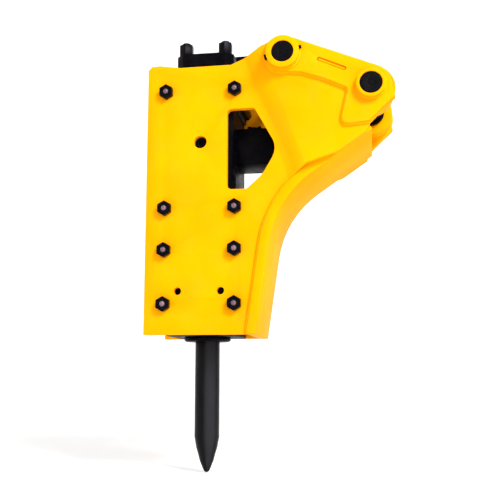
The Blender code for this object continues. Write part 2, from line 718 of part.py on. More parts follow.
def make_studs():
    """Four through bolts from the front head up, each with its nut on the back head."""
    hex_radius = STUD_RADIUS * HEX_PER_BOLT
    seat = BACK_HEAD_TOP + FIT
    for row, side in (("near", -1), ("far", 1)):
        for end, x in (("front", -STUD_HALF), ("rear", STUD_HALF)):
            tag = f"{row}_{end}"
            y = side * STUD_HALF
            top = seat + STUD_NUT + STUD_END
            rod("through_bolt_" + tag, (x, y, STUD_FOOT), (x, y, top), STUD_RADIUS, BLACK_STEEL, COARSE)
            nut = rod("through_nut_" + tag, (x, y, seat), (x, y, seat + STUD_NUT), hex_radius, BLACK_STEEL, HEX)
            cut(nut, rod("stud_thread_" + tag, (x, y, seat - 0.01), (x, y, seat + STUD_NUT + 0.01),
                         STUD_RADIUS + FIT, None, COARSE))


# ---------------------------------------------------------------- tool

def make_chisel():
    """The chisel, hanging on its retaining pins: moil point, shaft with two flats, and a reduced head."""
    neck = TOOL_RADIUS - TOOL_NECK
    profile = [(0.0, TOOL_TOP), (neck - 0.003, TOOL_TOP), (neck, TOOL_TOP - 0.003), (neck, SHOULDER_Z + TAPER)]
    profile += [(TOOL_RADIUS, SHOULDER_Z), (TOOL_RADIUS, TOOL_TIP + POINT_HEIGHT)]
    profile += [(TOOL_RADIUS * share, TOOL_TIP + height) for share, height in POINT]
    profile.append((0.0, TOOL_TIP))
    chisel = turned("chisel", profile, (0.0, 0.0, 0.0), DARK_STEEL)
    low = RETAINER_Z - RETAINER_RADIUS - TOOL_TRAVEL - 2 * FIT
    high = RETAINER_Z + RETAINER_RADIUS + FIT
    for label, side in (("near", -1), ("far", 1)):
        near, far = sorted((side * (TOOL_RADIUS - FLAT_DEPTH), side * (TOOL_RADIUS + 0.01)))
        cut(chisel, box("chisel_flat_" + label, (-0.05, near, low), (0.05, far, high)))


def make_tool_guides():
    """Lower bush, thrust ring, front cover and dust seal round the chisel."""
    axis = (0.0, 0.0, 0.0)
    tube("lower_bush", SEAT_RADIUS + BUSH_WALL, SEAT_RADIUS, FRONT_HEAD_FOOT + FIT, lower_bush_top(), axis,
         BRONZE)
    outer = SEAT_RADIUS + THRUST_WALL
    throat = TOOL_RADIUS - TOOL_NECK + 0.002
    stop = SHOULDER_Z + TOOL_TRAVEL + 2 * FIT
    profile = [(outer, THRUST_TOP), (outer, THRUST_FOOT + FIT), (SEAT_RADIUS, THRUST_FOOT + FIT)]
    profile += [(SEAT_RADIUS, stop), (throat, stop + TAPER), (throat, THRUST_TOP)]
    turned("thrust_ring", profile, axis, STEEL, ring=True)
    seal = SEAT_RADIUS + COVER_WALL
    top = FRONT_HEAD_FOOT - FIT
    foot = top - COVER_DROP
    lip = SEAT_RADIUS + 0.0035
    rim = SEAT_RADIUS + BUSH_WALL + COVER_WALL
    shelf = top - COVER_DROP / 2
    profile = [(rim, top), (rim, foot + 0.004), (rim - 0.004, foot), (lip, foot), (lip, shelf)]
    profile += [(seal + FIT, shelf), (seal + FIT, top)]
    turned("front_cover", profile, axis, BLACK, ring=True)
    tube("dust_seal", seal, SEAT_RADIUS, shelf + FIT, top - FIT, axis, RUBBER)


def make_tool_pins():
    """The two retaining pins across the chisel's flats, and the stop pin that locks each one."""
    half = BODY_HALF - RETAINER_END
    for label, side in (("near", -1), ("far", 1)):
        y = side * RETAINER_Y
        pin = rod("retaining_pin_" + label, (-half, y, RETAINER_Z), (half, y, RETAINER_Z), RETAINER_RADIUS,
                  STEEL)
        cut(pin, bpy.data.objects["stop_drill_" + label])
        x = side * STOP_PIN_X
        outer = side * (BODY_DEPTH - STOP_PIN_END)
        inner = side * (RETAINER_Y - RETAINER_RADIUS)
        rod("stop_pin_" + label, (x, inner, RETAINER_Z), (x, outer, RETAINER_Z), STOP_PIN_RADIUS, BLACK_STEEL,
            COARSE)


# ---------------------------------------------------------------- piston

def seal_radius():
    """Outer radius of the seal retainer."""
    return PISTON_ROD_RADIUS + RUNNING_FIT + SEAL_WALL


def make_piston():
    """The piston at the bottom of its stroke, and the seal retainer round its upper rod."""
    land_foot = CHAMBER_FOOT + 0.008
    neck_foot = land_foot + PISTON_LAND
    neck_top = neck_foot + PISTON_NECK
    land_top = neck_top + PISTON_LAND
    groove = PISTON_RADIUS - 0.004
    profile = [(0.0, PISTON_TOP), (PISTON_ROD_RADIUS - 0.002, PISTON_TOP), (PISTON_ROD_RADIUS, PISTON_TOP - 0.002)]
    profile += [(PISTON_ROD_RADIUS, land_top), (PISTON_RADIUS, land_top), (PISTON_RADIUS, neck_top)]
    profile += [(groove, neck_top - 0.004), (groove, neck_foot + 0.004), (PISTON_RADIUS, neck_foot)]
    profile += [(PISTON_RADIUS, land_foot), (PISTON_NOSE_RADIUS, land_foot - 0.004)]
    profile += [(PISTON_NOSE_RADIUS, PISTON_FOOT + 0.003), (PISTON_NOSE_RADIUS - 0.003, PISTON_FOOT)]
    profile.append((0.0, PISTON_FOOT))
    turned("piston", profile, (0.0, 0.0, 0.0), STEEL)
    tube("seal_retainer", seal_radius(), PISTON_ROD_RADIUS + RUNNING_FIT, SEAL_SEAT + FIT, CYLINDER_TOP - FIT,
         (0.0, 0.0, 0.0), STEEL)


# ---------------------------------------------------------------- control valve

def port_heights():
    """Heights of the two drillings between the valve block and the cylinder."""
    middle = (VALVE_FOOT + VALVE_TOP) / 2
    return (middle - 0.020, middle + 0.020)


def make_valve():
    """Valve block beside the cylinder, its spool, cap, throttle adjuster and hose adapters."""
    start = WAIST_HALF + FIT
    corners = [(start, VALVE_FOOT, 0.0), (VALVE_END, VALVE_FOOT, 0.008), (VALVE_END, VALVE_TOP, 0.008)]
    corners.append((start, VALVE_TOP, 0.0))
    block = slab("valve_block", [rounded(corners, 2)], -VALVE_HALF, VALVE_HALF, "Y", BLACK)
    floor = VALVE_FOOT + SPOOL_FLOOR
    cut(block, rod("spool_bore", (SPOOL_X, 0.0, floor), (SPOOL_X, 0.0, VALVE_TOP + 0.01), SPOOL_RADIUS + RUNNING_FIT))
    for number, z in enumerate(port_heights(), start=1):
        cut(block, rod(f"valve_port_{number}", (start - 0.01, 0.0, z), (SPOOL_X, 0.0, z), PORT_RADIUS, None, COARSE))
    middle = (VALVE_FOOT + VALVE_TOP) / 2
    depth = VALVE_END - ADJUSTER_DEPTH
    cut(block, rod("adjuster_hole", (depth - 0.002, 0.0, middle), (VALVE_END + 0.01, 0.0, middle),
                   ADJUSTER_RADIUS + FIT, None, COARSE))

    groove = SPOOL_RADIUS - 0.003
    foot = floor + FIT
    length = VALVE_TOP - floor - SPOOL_STROKE - SPOOL_ROOM
    third = length / 3
    profile = [(0.0, length), (SPOOL_RADIUS, length), (SPOOL_RADIUS, length - third)]
    profile += [(groove, length - third - 0.002), (groove, third + 0.002), (SPOOL_RADIUS, third)]
    profile += [(SPOOL_RADIUS, 0.0), (0.0, 0.0)]
    turned("valve_spool", profile, (SPOOL_X, 0.0, foot), STEEL, MEDIUM)
    rod("valve_cap", (SPOOL_X, 0.0, VALVE_TOP + FIT), (SPOOL_X, 0.0, VALVE_TOP + CAP_HEIGHT), CAP_RADIUS,
        BLACK_STEEL)

    face = VALVE_END + FIT
    adjuster = rod("throttle_adjuster", (depth, 0.0, middle), (face + 0.001, 0.0, middle), ADJUSTER_RADIUS,
                   STEEL, COARSE)
    knob = rod("adjuster_head", (face, 0.0, middle), (face + ADJUSTER_HEAD, 0.0, middle),
               ADJUSTER_RADIUS * HEX_PER_BOLT, None, HEX)
    boolean(adjuster, knob, "UNION")

    seat = VALVE_TOP + FIT
    for label, side in (("in", -1), ("out", 1)):
        y = side * PORT_Y
        cut(block, rod("port_" + label, (PORT_X, y, VALVE_TOP - PORT_DEPTH), (PORT_X, y, VALVE_TOP + 0.01),
                       PORT_RADIUS, None, COARSE))
        adapter = tube("hose_adapter_" + label, ADAPTER_RADIUS, PORT_RADIUS, 0.0, ADAPTER_LENGTH, (PORT_X, y, seat),
                       BLACK_STEEL, MEDIUM)
        collar = rod("adapter_hex_" + label, (PORT_X, y, seat), (PORT_X, y, seat + ADAPTER_HEX),
                     ADAPTER_RADIUS * 1.45, None, HEX)
        hollow = rod("adapter_bore_" + label, (PORT_X, y, seat - 0.01), (PORT_X, y, seat + ADAPTER_LENGTH + 0.01),
                     PORT_RADIUS, None, MEDIUM)
        boolean(adapter, collar, "UNION")
        cut(adapter, hollow)


make_side_plates()
make_doublers()
make_back_plate()
make_bridge_plate()
make_ear_pins()
make_side_bolts()
make_front_head()
make_cylinder()
make_back_head()
make_studs()
make_chisel()
make_tool_guides()
make_tool_pins()
make_piston()
make_valve()
bpy.context.view_layer.update()
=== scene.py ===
"""Looks of the hydraulic breaker: paint, steel, welds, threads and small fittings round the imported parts.

Metres, +Z up, +X toward the excavator, +Y the far side, and the middle of the arm pin is the origin.
Each operator makes one piece or one group of like pieces; the panel in the 3D view's sidebar lists them.
"""

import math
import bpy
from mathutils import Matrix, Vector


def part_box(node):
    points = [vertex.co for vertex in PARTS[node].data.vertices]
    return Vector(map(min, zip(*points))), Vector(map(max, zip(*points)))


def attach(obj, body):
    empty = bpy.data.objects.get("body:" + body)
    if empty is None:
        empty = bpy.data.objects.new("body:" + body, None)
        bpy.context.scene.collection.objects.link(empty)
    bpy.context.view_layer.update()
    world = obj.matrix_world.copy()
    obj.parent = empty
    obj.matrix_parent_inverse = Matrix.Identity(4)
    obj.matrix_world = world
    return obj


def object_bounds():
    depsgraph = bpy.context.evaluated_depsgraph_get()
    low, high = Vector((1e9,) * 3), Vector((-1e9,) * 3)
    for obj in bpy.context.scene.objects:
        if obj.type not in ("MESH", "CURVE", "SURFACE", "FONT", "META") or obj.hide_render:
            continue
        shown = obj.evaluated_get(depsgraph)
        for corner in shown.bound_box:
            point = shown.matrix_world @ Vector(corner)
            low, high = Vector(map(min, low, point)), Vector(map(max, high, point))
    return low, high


bl_info = {
    "name": "Hydraulic Breaker Looks",
    "version": (1, 0, 0),
    "blender": (4, 5, 0),
    "location": "View3D > Sidebar > Breaker",
    "description": "Paints the breaker's parts and adds its welds, threads, fittings and studio",
    "category": "Object",
}

import bmesh
import bpy
import numpy as np
from bpy.props import FloatProperty, FloatVectorProperty, IntProperty, PointerProperty

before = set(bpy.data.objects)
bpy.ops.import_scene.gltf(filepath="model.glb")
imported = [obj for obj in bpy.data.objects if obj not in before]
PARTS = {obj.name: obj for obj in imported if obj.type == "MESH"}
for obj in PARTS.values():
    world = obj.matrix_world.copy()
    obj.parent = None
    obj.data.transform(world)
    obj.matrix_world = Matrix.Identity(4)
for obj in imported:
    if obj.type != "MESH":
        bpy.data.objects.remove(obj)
CAD_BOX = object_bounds()
HAMMER = "hammer_in_bracket"
SIDES = (("near", -1.0), ("far", 1.0))
WHITE = (1.0, 1.0, 1.0, 1.0)

# Side plates: their thickness, and how far each ear stands outside its body panel
PLATE_THICKNESS = 0.020
EAR_STEP = 0.030

# Welds: spacing of their points, how far the bead swells, and the fold that stays sharp on them
BEAD_STEP = 0.0014
RING_STEP = 0.0013
SLOT_STEP = 0.0012
WELD_BULGE = 0.22
WELD_SHARP = 1.2

# Ends of the doubler's weld, as (x, z) from the link pin and from the arm pin
# and the height of the back plate's weld
DOUBLER_WELD_START = (-0.03, 0.045)
DOUBLER_WELD_END = (-0.006, -0.098)
BACK_WELD_HEIGHT = 0.40

# Folds at more than this angle stay sharp, in radians
SHARP_ANGLE = 0.6

# Camera, key lamp and floor
CAMERA_PLACE = (-0.0160, -2.2150, -0.7717)
CAMERA_LIFT = math.radians(9.21)
CAMERA_TURN = math.radians(8.51)
LAMP_PLACE = np.array((2.2, -3.0, 2.4))
LAMP_AIM = np.array((-0.25, 0.0, -0.35))
LAMP_WIDTH = 1.6
FLOOR_SIDES = 96


# ---------------------------------------------------------------- sizes and colours

def colour_setting(name, description, default):
    """A colour in the panel."""
    return FloatVectorProperty(name=name, description=description, subtype="COLOR", default=default,
                               min=0.0, max=1.0)


def length_setting(name, description, default, low, high):
    """A length in the panel, in metres."""
    return FloatProperty(name=name, description=description, default=default, min=low, max=high,
                         subtype="DISTANCE", unit="LENGTH")


class BreakerPaint(bpy.types.PropertyGroup):
    """Colours of the finishes."""

    yellow: colour_setting("Yellow", "Colour of the bracket's paint", (0.97, 0.39, 0.0006))
    # Lighter yellow: a painted highlight along the plates' edges, where the paint is also thin, and the
    # colour of light scuffs
    highlight_and_scuff_yellow: colour_setting("Thin yellow", "Colour where the paint is thin on an edge",
                                (0.98, 0.56, 0.004))
    black: colour_setting("Black", "Colour of the hammer's paint", (0.0004, 0.0004, 0.0014))
    black_edge: colour_setting("Black edge", "Colour of the hammer's rubbed edges", (0.0035, 0.0035, 0.005))
    dust: colour_setting("Dust", "Colour of settled dust", (0.42, 0.36, 0.27))
    primer: colour_setting("Primer", "Colour under a chip in the yellow", (0.20, 0.040, 0.010))


class BreakerSizes(bpy.types.PropertyGroup):
    """Sizes of the details."""

    plate_round: length_setting("Plate rounding", "Rounding of the plates' edges", 0.0022, 0.0002, 0.004)
    small_round: length_setting("Small rounding", "Rounding of fasteners' and pins' edges",
                                0.0009, 0.0001, 0.002)
    weld_leg: length_setting("Weld leg", "Leg of the fillet welds", 0.0065, 0.002, 0.009)
    weld_pitch: length_setting("Weld ripple", "Spacing of the ripples along a weld", 0.0042, 0.002, 0.01)
    thread_pitch: length_setting("Thread pitch", "Pitch of the bolts' threads", 0.003, 0.001, 0.005)
    thread_depth: length_setting("Thread stand", "How far the thread's crest stands off the bar",
                                 0.0007, 0.0002, 0.002)


class BreakerStudio(bpy.types.PropertyGroup):
    """Lights, floor and lens; the floor glows a little, so that it stays white."""

    sky: FloatProperty(name="Sky", description="Strength of the even light from all round",
                       default=0.34, min=0.0)
    key: FloatProperty(name="Key lamp", description="Power of the large lamp at the upper right",
                       default=245.0, min=0.0, unit="POWER")
    lens: FloatProperty(name="Lens", description="Focal length in millimetres on a 36 mm sensor",
                        default=57.91, min=20.0, max=200.0)
    floor_glow: FloatProperty(name="Floor glow", description="Light that the pale floor gives off by itself",
                              default=0.34, min=0.0)
    floor_drop: length_setting("Floor gap", "How far the floor lies under the chisel's point",
                               0.0005, 0.0, 0.1)
    rings: IntProperty(name="Backdrop rings", description="Rings in the floor's curved rim",
                       default=24, min=8, max=96)


# ---------------------------------------------------------------- shader groups

def put(tree, kind, inputs=None, **settings):
    """Add a node; an input that is given a socket is linked, and any other value is set on it."""
    made = tree.nodes.new(kind)
    for key, value in settings.items():
        setattr(made, key, value)
    for key, value in (inputs or {}).items():
        if isinstance(value, bpy.types.NodeSocket):
            tree.links.new(value, made.inputs[key])
        else:
            made.inputs[key].default_value = value
    return made


def sums(tree, operation, first, second=0.0, third=0.0, clamp=False):
    """One Math node."""
    return put(tree, "ShaderNodeMath", {0: first, 1: second, 2: third}, operation=operation,
               use_clamp=clamp).outputs[0]


def ramp(tree, value, low, high, to_low=0.0, to_high=1.0):
    """A smooth step from one range to another."""
    ends = {"Value": value, "From Min": low, "From Max": high, "To Min": to_low, "To Max": to_high}
    return put(tree, "ShaderNodeMapRange", ends, interpolation_type="SMOOTHSTEP").outputs["Result"]


def blend_colours(tree, factor, first, second):
    """Mix two colours by a mask."""
    first = (*first, 1.0) if isinstance(first, (tuple, bpy.types.bpy_prop_array)) else first
    second = (*second, 1.0) if isinstance(second, (tuple, bpy.types.bpy_prop_array)) else second
    return put(tree, "ShaderNodeMix", {0: factor, 6: first, 7: second}, data_type="RGBA").outputs[2]


def noise(tree, vector, scale, detail=2.0, roughness=0.5, distortion=0.0):
    """A Noise Texture's value."""
    made = put(tree, "ShaderNodeTexNoise", {"Vector": vector, "Scale": scale, "Detail": detail,
                                            "Roughness": roughness, "Distortion": distortion})
    return made.outputs["Fac"]


def dot(tree, first, second):
    """Dot product of two vectors."""
    return put(tree, "ShaderNodeVectorMath", {0: first, 1: second}, operation="DOT_PRODUCT").outputs["Value"]


def place_on_object(tree):
    """The object's own coordinates."""
    return put(tree, "ShaderNodeTexCoord").outputs["Object"]


def surface_normal(tree):
    """The surface's shading normal."""
    return put(tree, "ShaderNodeNewGeometry").outputs["Normal"]


def edge_turn(tree, width):
    """How far an edge rounded to a width turns the normal: 0 on a flat face."""
    rounded = put(tree, "ShaderNodeBevel", {"Radius": width}, samples=4).outputs[0]
    return sums(tree, "SUBTRACT", 1.0, dot(tree, rounded, surface_normal(tree)))


def start_group(name, inputs, outputs):
    """An empty shader group with named inputs and outputs."""
    tree = bpy.data.node_groups.new(name, "ShaderNodeTree")
    for label, kind, value in inputs:
        socket = tree.interface.new_socket(label, in_out="INPUT", socket_type="NodeSocket" + kind)
        socket.default_value = value
    for label, kind in outputs:
        tree.interface.new_socket(label, in_out="OUTPUT", socket_type="NodeSocket" + kind)
    return tree, tree.nodes.new("NodeGroupInput").outputs, tree.nodes.new("NodeGroupOutput").inputs


def group_edge_wear_and_highlight():
    """Mask of edges and corners, broken up by noise, where a rounded edge turns the normal: wear, and a
    painted highlight on the yellow.
    """
    tree, given, out = start_group("Edge Wear And Highlight", [("Width", "Float", 0.003), ("Breakup", "Float", 60.0),
                                                 ("Amount", "Float", 0.6)], [("Mask", "Float")])
    edge = ramp(tree, edge_turn(tree, given["Width"]), 0.01, 0.16)
    place = place_on_object(tree)
    patches = ramp(tree, noise(tree, place, given["Breakup"], 4.0, 0.65), 0.36, 0.62)
    both = sums(tree, "MULTIPLY", edge, sums(tree, "MULTIPLY_ADD", patches, 0.75, 0.25))
    tree.links.new(sums(tree, "MULTIPLY", both, given["Amount"], clamp=True), out["Mask"])
    return tree


def group_chips():
    """Mask of small chips that gather along edges, and a few strays on the flats."""
    tree, given, out = start_group("Chips", [("Width", "Float", 0.004), ("Size", "Float", 320.0),
                                             ("Amount", "Float", 0.3)], [("Mask", "Float")])
    near_edge = ramp(tree, edge_turn(tree, given["Width"]), 0.004, 0.12)
    place = place_on_object(tree)
    spots = noise(tree, place, given["Size"], 3.0, 0.7, 0.4)
    areas = noise(tree, place, 14.0, 2.0, 0.5)
    lift = sums(tree, "MULTIPLY", near_edge, 0.16)
    level = sums(tree, "ADD", spots, sums(tree, "MULTIPLY_ADD", areas, 0.16, lift))
    mask = ramp(tree, level, 0.80, 0.83)
    tree.links.new(sums(tree, "MULTIPLY", mask, given["Amount"], clamp=True), out["Mask"])
    return tree


def group_paint_skin():
    """Sprayed paint: fine orange peel as a height, and slow changes of depth and gloss as masks."""
    tree, given, out = start_group("Paint Skin",
                                   [("Peel Scale", "Float", 420.0), ("Patch Scale", "Float", 7.0)],
                                   [("Height", "Float"), ("Patches", "Float"), ("Gloss", "Float")])
    place = place_on_object(tree)
    peel = noise(tree, place, given["Peel Scale"], 2.0, 0.45)
    slow = noise(tree, place, 38.0, 2.0, 0.5)
    tree.links.new(sums(tree, "MULTIPLY_ADD", slow, 1.6, peel), out["Height"])
    tree.links.new(ramp(tree, noise(tree, place, given["Patch Scale"], 3.0, 0.55), 0.3, 0.7), out["Patches"])
    tree.links.new(ramp(tree, noise(tree, place, 55.0, 4.0, 0.6), 0.3, 0.75), out["Gloss"])
    return tree


def group_dust():
    """Mask of dust that settles on faces that look up and thins out in patches."""
    tree, given, out = start_group("Settled Dust", [("Amount", "Float", 0.3), ("Patch Scale", "Float", 22.0)],
                                   [("Mask", "Float")])
    up = put(tree, "ShaderNodeSeparateXYZ", {0: surface_normal(tree)}).outputs["Z"]
    facing = ramp(tree, up, 0.15, 0.95, 0.10, 1.0)
    place = place_on_object(tree)
    patches = ramp(tree, noise(tree, place, given["Patch Scale"], 5.0, 0.62), 0.38, 0.72)
    both = sums(tree, "MULTIPLY", facing, patches)
    tree.links.new(sums(tree, "MULTIPLY", both, given["Amount"], clamp=True), out["Mask"])
    return tree


def group_scratches():
    """Mask of fine rubbed lines: two noises, each drawn out along its own direction."""
    tree, given, out = start_group("Scratches", [("Scale", "Float", 26.0), ("Amount", "Float", 0.3)],
                                   [("Mask", "Float")])
    place = place_on_object(tree)
    masks = []
    for tilt, stretch in ((0.55, 34.0), (-0.95, 26.0)):
        turned = put(tree, "ShaderNodeMapping", {"Vector": place, "Rotation": (tilt * 0.4, tilt, 0.3),
                                                 "Scale": (1.0, stretch, stretch)}).outputs[0]
        masks.append(ramp(tree, noise(tree, turned, given["Scale"], 3.0, 0.6), 0.69, 0.74))
    both = sums(tree, "MAXIMUM", *masks)
    tree.links.new(sums(tree, "MULTIPLY", both, given["Amount"], clamp=True), out["Mask"])
    return tree


def group_turned_marks():
    """Tool marks in bands across one direction, as a height and as a change of roughness."""
    tree, given, out = start_group("Turned Marks",
                                   [("Along", "Vector", (0.0, 0.0, 1.0)), ("Fineness", "Float", 900.0)],
                                   [("Height", "Float"), ("Rough", "Float")])
    place = place_on_object(tree)
    along = dot(tree, place, given["Along"])
    bands = []
    for fineness, detail in ((given["Fineness"], 3.0), (45.0, 2.0)):
        at = sums(tree, "MULTIPLY", along, fineness)
        bands.append(put(tree, "ShaderNodeTexNoise", {"W": at, "Scale": 1.0, "Detail": detail},
                         noise_dimensions="1D").outputs["Fac"])
    fine, broad = bands
    tree.links.new(fine, out["Height"])
    tree.links.new(sums(tree, "MULTIPLY_ADD", broad, 0.6, sums(tree, "MULTIPLY", fine, 0.4)), out["Rough"])
    return tree


def group_cast_skin():
    """Forged or cast surface: soft lumps with small pits, as a height, and a blotch mask."""
    tree, given, out = start_group("Cast Skin", [("Scale", "Float", 120.0)],
                                   [("Height", "Float"), ("Blotch", "Float")])
    place = place_on_object(tree)
    lumps = noise(tree, place, given["Scale"], 5.0, 0.6, 0.2)
    cells = put(tree, "ShaderNodeTexVoronoi",
                {"Vector": place, "Scale": sums(tree, "MULTIPLY", given["Scale"], 4.0)})
    pits = ramp(tree, cells.outputs["Distance"], 0.08, 0.32)
    tree.links.new(sums(tree, "MULTIPLY_ADD", pits, 0.25, lumps), out["Height"])
    tree.links.new(ramp(tree, noise(tree, place, 26.0, 4.0, 0.6), 0.35, 0.7), out["Blotch"])
    return tree


GROUPS = {}


def build_groups():
    """Make every shader group once."""
    makers = {"edge": group_edge_wear_and_highlight, "chips": group_chips, "paint": group_paint_skin, "dust": group_dust,
              "scratches": group_scratches, "turned": group_turned_marks, "cast": group_cast_skin}
    for key, maker in makers.items():
        GROUPS[key] = maker()


def use(tree, key, **values):
    """Place a shader group in a material; an underscore in a value's name stands for a space."""
    made = tree.nodes.new("ShaderNodeGroup")
    made.node_tree = GROUPS[key]
    for label, value in values.items():
        made.inputs[label.replace("_", " ")].default_value = value
    return made.outputs


# ---------------------------------------------------------------- materials

MATERIALS = {}


def start_material(name, shown):
    """A new material with its Principled shader and the colour it has in a solid view."""
    made = bpy.data.materials.new(name)
    made.use_nodes = True
    made.diffuse_color = (*shown, 1.0)
    MATERIALS[name] = made
    return made.node_tree, made.node_tree.nodes["Principled BSDF"]


def bump(tree, shader, height, depth):
    """Feed a height into the shader's normal through one Bump node."""
    made = put(tree, "ShaderNodeBump", {"Height": height, "Distance": depth, "Strength": 1.0})
    tree.links.new(made.outputs["Normal"], shader.inputs["Normal"])


def yellow_paint(name, paint, peel=0.00010, seams=False):
    """Sprayed yellow enamel with a painted highlight on its thin-painted edges, a few chips, light scuffs and
    a little dust on top.
    """
    tree, shader = start_material(name, paint.yellow)
    skin = use(tree, "paint")
    edge = use(tree, "edge", Width=0.0035, Breakup=48.0, Amount=0.55)["Mask"]
    chips = use(tree, "chips", Width=0.004, Size=380.0, Amount=0.8)["Mask"]
    dust = use(tree, "dust", Amount=0.10, Patch_Scale=18.0)["Mask"]
    rubbed = use(tree, "scratches", Scale=22.0, Amount=0.12)["Mask"]
    deep = tuple(share * value for share, value in zip((0.955, 0.90, 0.9), paint.yellow))
    colour = blend_colours(tree, skin["Patches"], deep, tuple(paint.yellow))
    # Painted highlight: edges and corners turn a lighter yellow, where the paint is also thin
    colour = blend_colours(tree, edge, colour, tuple(paint.highlight_and_scuff_yellow))
    colour = blend_colours(tree, rubbed, colour, tuple(paint.highlight_and_scuff_yellow))
    colour = blend_colours(tree, chips, colour, tuple(paint.primer))
    colour = blend_colours(tree, dust, colour, tuple(paint.dust))
    tree.links.new(colour, shader.inputs["Base Color"])
    rough = sums(tree, "MULTIPLY_ADD", skin["Gloss"], 0.14, 0.27)
    rough = sums(tree, "MULTIPLY_ADD", sums(tree, "MAXIMUM", dust, chips), 0.5, rough, clamp=True)
    tree.links.new(rough, shader.inputs["Roughness"])
    shader.inputs["Specular IOR Level"].default_value = 0.002
    height = sums(tree, "MULTIPLY_ADD", chips, -1.5, skin["Height"])
    if seams:
        height = sums(tree, "MULTIPLY_ADD", use(tree, "cast", Scale=260.0)["Height"], 0.8, height)
    bump(tree, shader, height, peel)


def black_paint(name, paint, scale, depth, dust_share):
    """Satin black over a cast body: its lumps show through, its edges are rubbed and it carries some dust."""
    tree, shader = start_material(name, paint.black)
    cast = use(tree, "cast", Scale=scale)
    skin = use(tree, "paint", Peel_Scale=520.0)
    edge = use(tree, "edge", Width=0.003, Breakup=70.0, Amount=0.85)["Mask"]
    dust = use(tree, "dust", Amount=dust_share, Patch_Scale=16.0)["Mask"]
    rubbed = use(tree, "scratches", Scale=30.0, Amount=0.35)["Mask"]
    lighter = tuple(value * 1.9 for value in paint.black)
    colour = blend_colours(tree, cast["Blotch"], tuple(paint.black), lighter)
    colour = blend_colours(tree, sums(tree, "MAXIMUM", edge, rubbed), colour, tuple(paint.black_edge))
    colour = blend_colours(tree, dust, colour, tuple(value * 0.5 for value in paint.dust))
    tree.links.new(colour, shader.inputs["Base Color"])
    rough = sums(tree, "MULTIPLY_ADD", skin["Gloss"], 0.16, 0.36)
    tree.links.new(sums(tree, "MULTIPLY_ADD", dust, 0.4, rough, clamp=True), shader.inputs["Roughness"])
    shader.inputs["Specular IOR Level"].default_value = 0.03
    bump(tree, shader, sums(tree, "MULTIPLY_ADD", skin["Height"], 0.3, cast["Height"]), depth)


def dark_steel(name, colour, rubbed_colour, rough, along, metallic=0.6):
    """Blackened steel: brown-black film, bright rubbed edges, fine turned marks and oily blotches."""
    tree, shader = start_material(name, colour)
    cast = use(tree, "cast", Scale=180.0)
    turned = use(tree, "turned", Along=along, Fineness=1400.0)
    edge = use(tree, "edge", Width=0.002, Breakup=90.0, Amount=0.8)["Mask"]
    rubbed = use(tree, "scratches", Scale=60.0, Amount=0.45)["Mask"]
    film = blend_colours(tree, cast["Blotch"], colour, tuple(value * 1.7 for value in colour))
    worn = sums(tree, "MAXIMUM", edge, rubbed)
    tree.links.new(blend_colours(tree, worn, film, rubbed_colour), shader.inputs["Base Color"])
    tree.links.new(sums(tree, "MULTIPLY_ADD", worn, 1.0 - metallic, metallic, clamp=True),
                   shader.inputs["Metallic"])
    level = sums(tree, "MULTIPLY_ADD", turned["Rough"], 0.18, rough - 0.09)
    tree.links.new(sums(tree, "MULTIPLY_ADD", worn, -0.10, level, clamp=True), shader.inputs["Roughness"])
    shader.inputs["Specular IOR Level"].default_value = 0.10
    bump(tree, shader, sums(tree, "MULTIPLY_ADD", cast["Height"], 1.4, turned["Height"]), 0.00003)


def bright_steel(name, colour, rough, along):
    """Ground steel or machined bronze: fine bands, small scratches and a faint oily film."""
    tree, shader = start_material(name, colour)
    turned = use(tree, "turned", Along=along, Fineness=2200.0)
    skin = use(tree, "paint", Peel_Scale=300.0, Patch_Scale=12.0)
    edge = use(tree, "edge", Width=0.0015, Breakup=110.0, Amount=0.5)["Mask"]
    rubbed = use(tree, "scratches", Scale=70.0, Amount=0.5)["Mask"]
    film = blend_colours(tree, skin["Patches"], colour, tuple(value * 0.72 for value in colour))
    worn = sums(tree, "MAXIMUM", edge, rubbed)
    tree.links.new(blend_colours(tree, worn, film, tuple(min(1.0, value * 1.3) for value in colour)),
                   shader.inputs["Base Color"])
    shader.inputs["Metallic"].default_value = 1.0
    level = sums(tree, "MULTIPLY_ADD", turned["Rough"], 0.2, rough - 0.1)
    tree.links.new(sums(tree, "MULTIPLY_ADD", worn, 0.12, level, clamp=True), shader.inputs["Roughness"])
    bump(tree, shader, turned["Height"], 0.00002)


def chisel_steel(name):
    """Forged tool steel left dark: heat scale, a painted sheen on its front-right side, turned shaft and a
    rubbed point.
    """
    tree, shader = start_material(name, (0.03, 0.03, 0.033))
    cast = use(tree, "cast", Scale=70.0)
    turned = use(tree, "turned", Along=(0.0, 0.0, 1.0), Fineness=700.0)
    edge = use(tree, "edge", Width=0.003, Breakup=60.0, Amount=0.6)["Mask"]
    rubbed = use(tree, "scratches", Scale=18.0, Amount=0.35)["Mask"]
    film = blend_colours(tree, cast["Blotch"], (0.0008, 0.0008, 0.0013), (0.0026, 0.0026, 0.0034))
    worn = sums(tree, "MAXIMUM", edge, rubbed)
    # Painted sheen: the side that faces front and right, toward the key lamp, is coloured lighter
    painted_sheen_side = dot(tree, surface_normal(tree), (0.44, -0.90, 0.0))
    film = blend_colours(tree, ramp(tree, painted_sheen_side, 0.80, 1.0), film, (0.020, 0.020, 0.024))
    tree.links.new(blend_colours(tree, worn, film, (0.030, 0.030, 0.034)), shader.inputs["Base Color"])
    tree.links.new(sums(tree, "MULTIPLY_ADD", worn, 0.35, 0.15, clamp=True), shader.inputs["Metallic"])
    level = sums(tree, "MULTIPLY_ADD", turned["Rough"], 0.16, 0.24)
    tree.links.new(sums(tree, "MULTIPLY_ADD", cast["Blotch"], 0.1, level, clamp=True),
                   shader.inputs["Roughness"])
    shader.inputs["Specular IOR Level"].default_value = 0.10
    bump(tree, shader, sums(tree, "MULTIPLY_ADD", cast["Height"], 2.2, turned["Height"]), 0.00012)


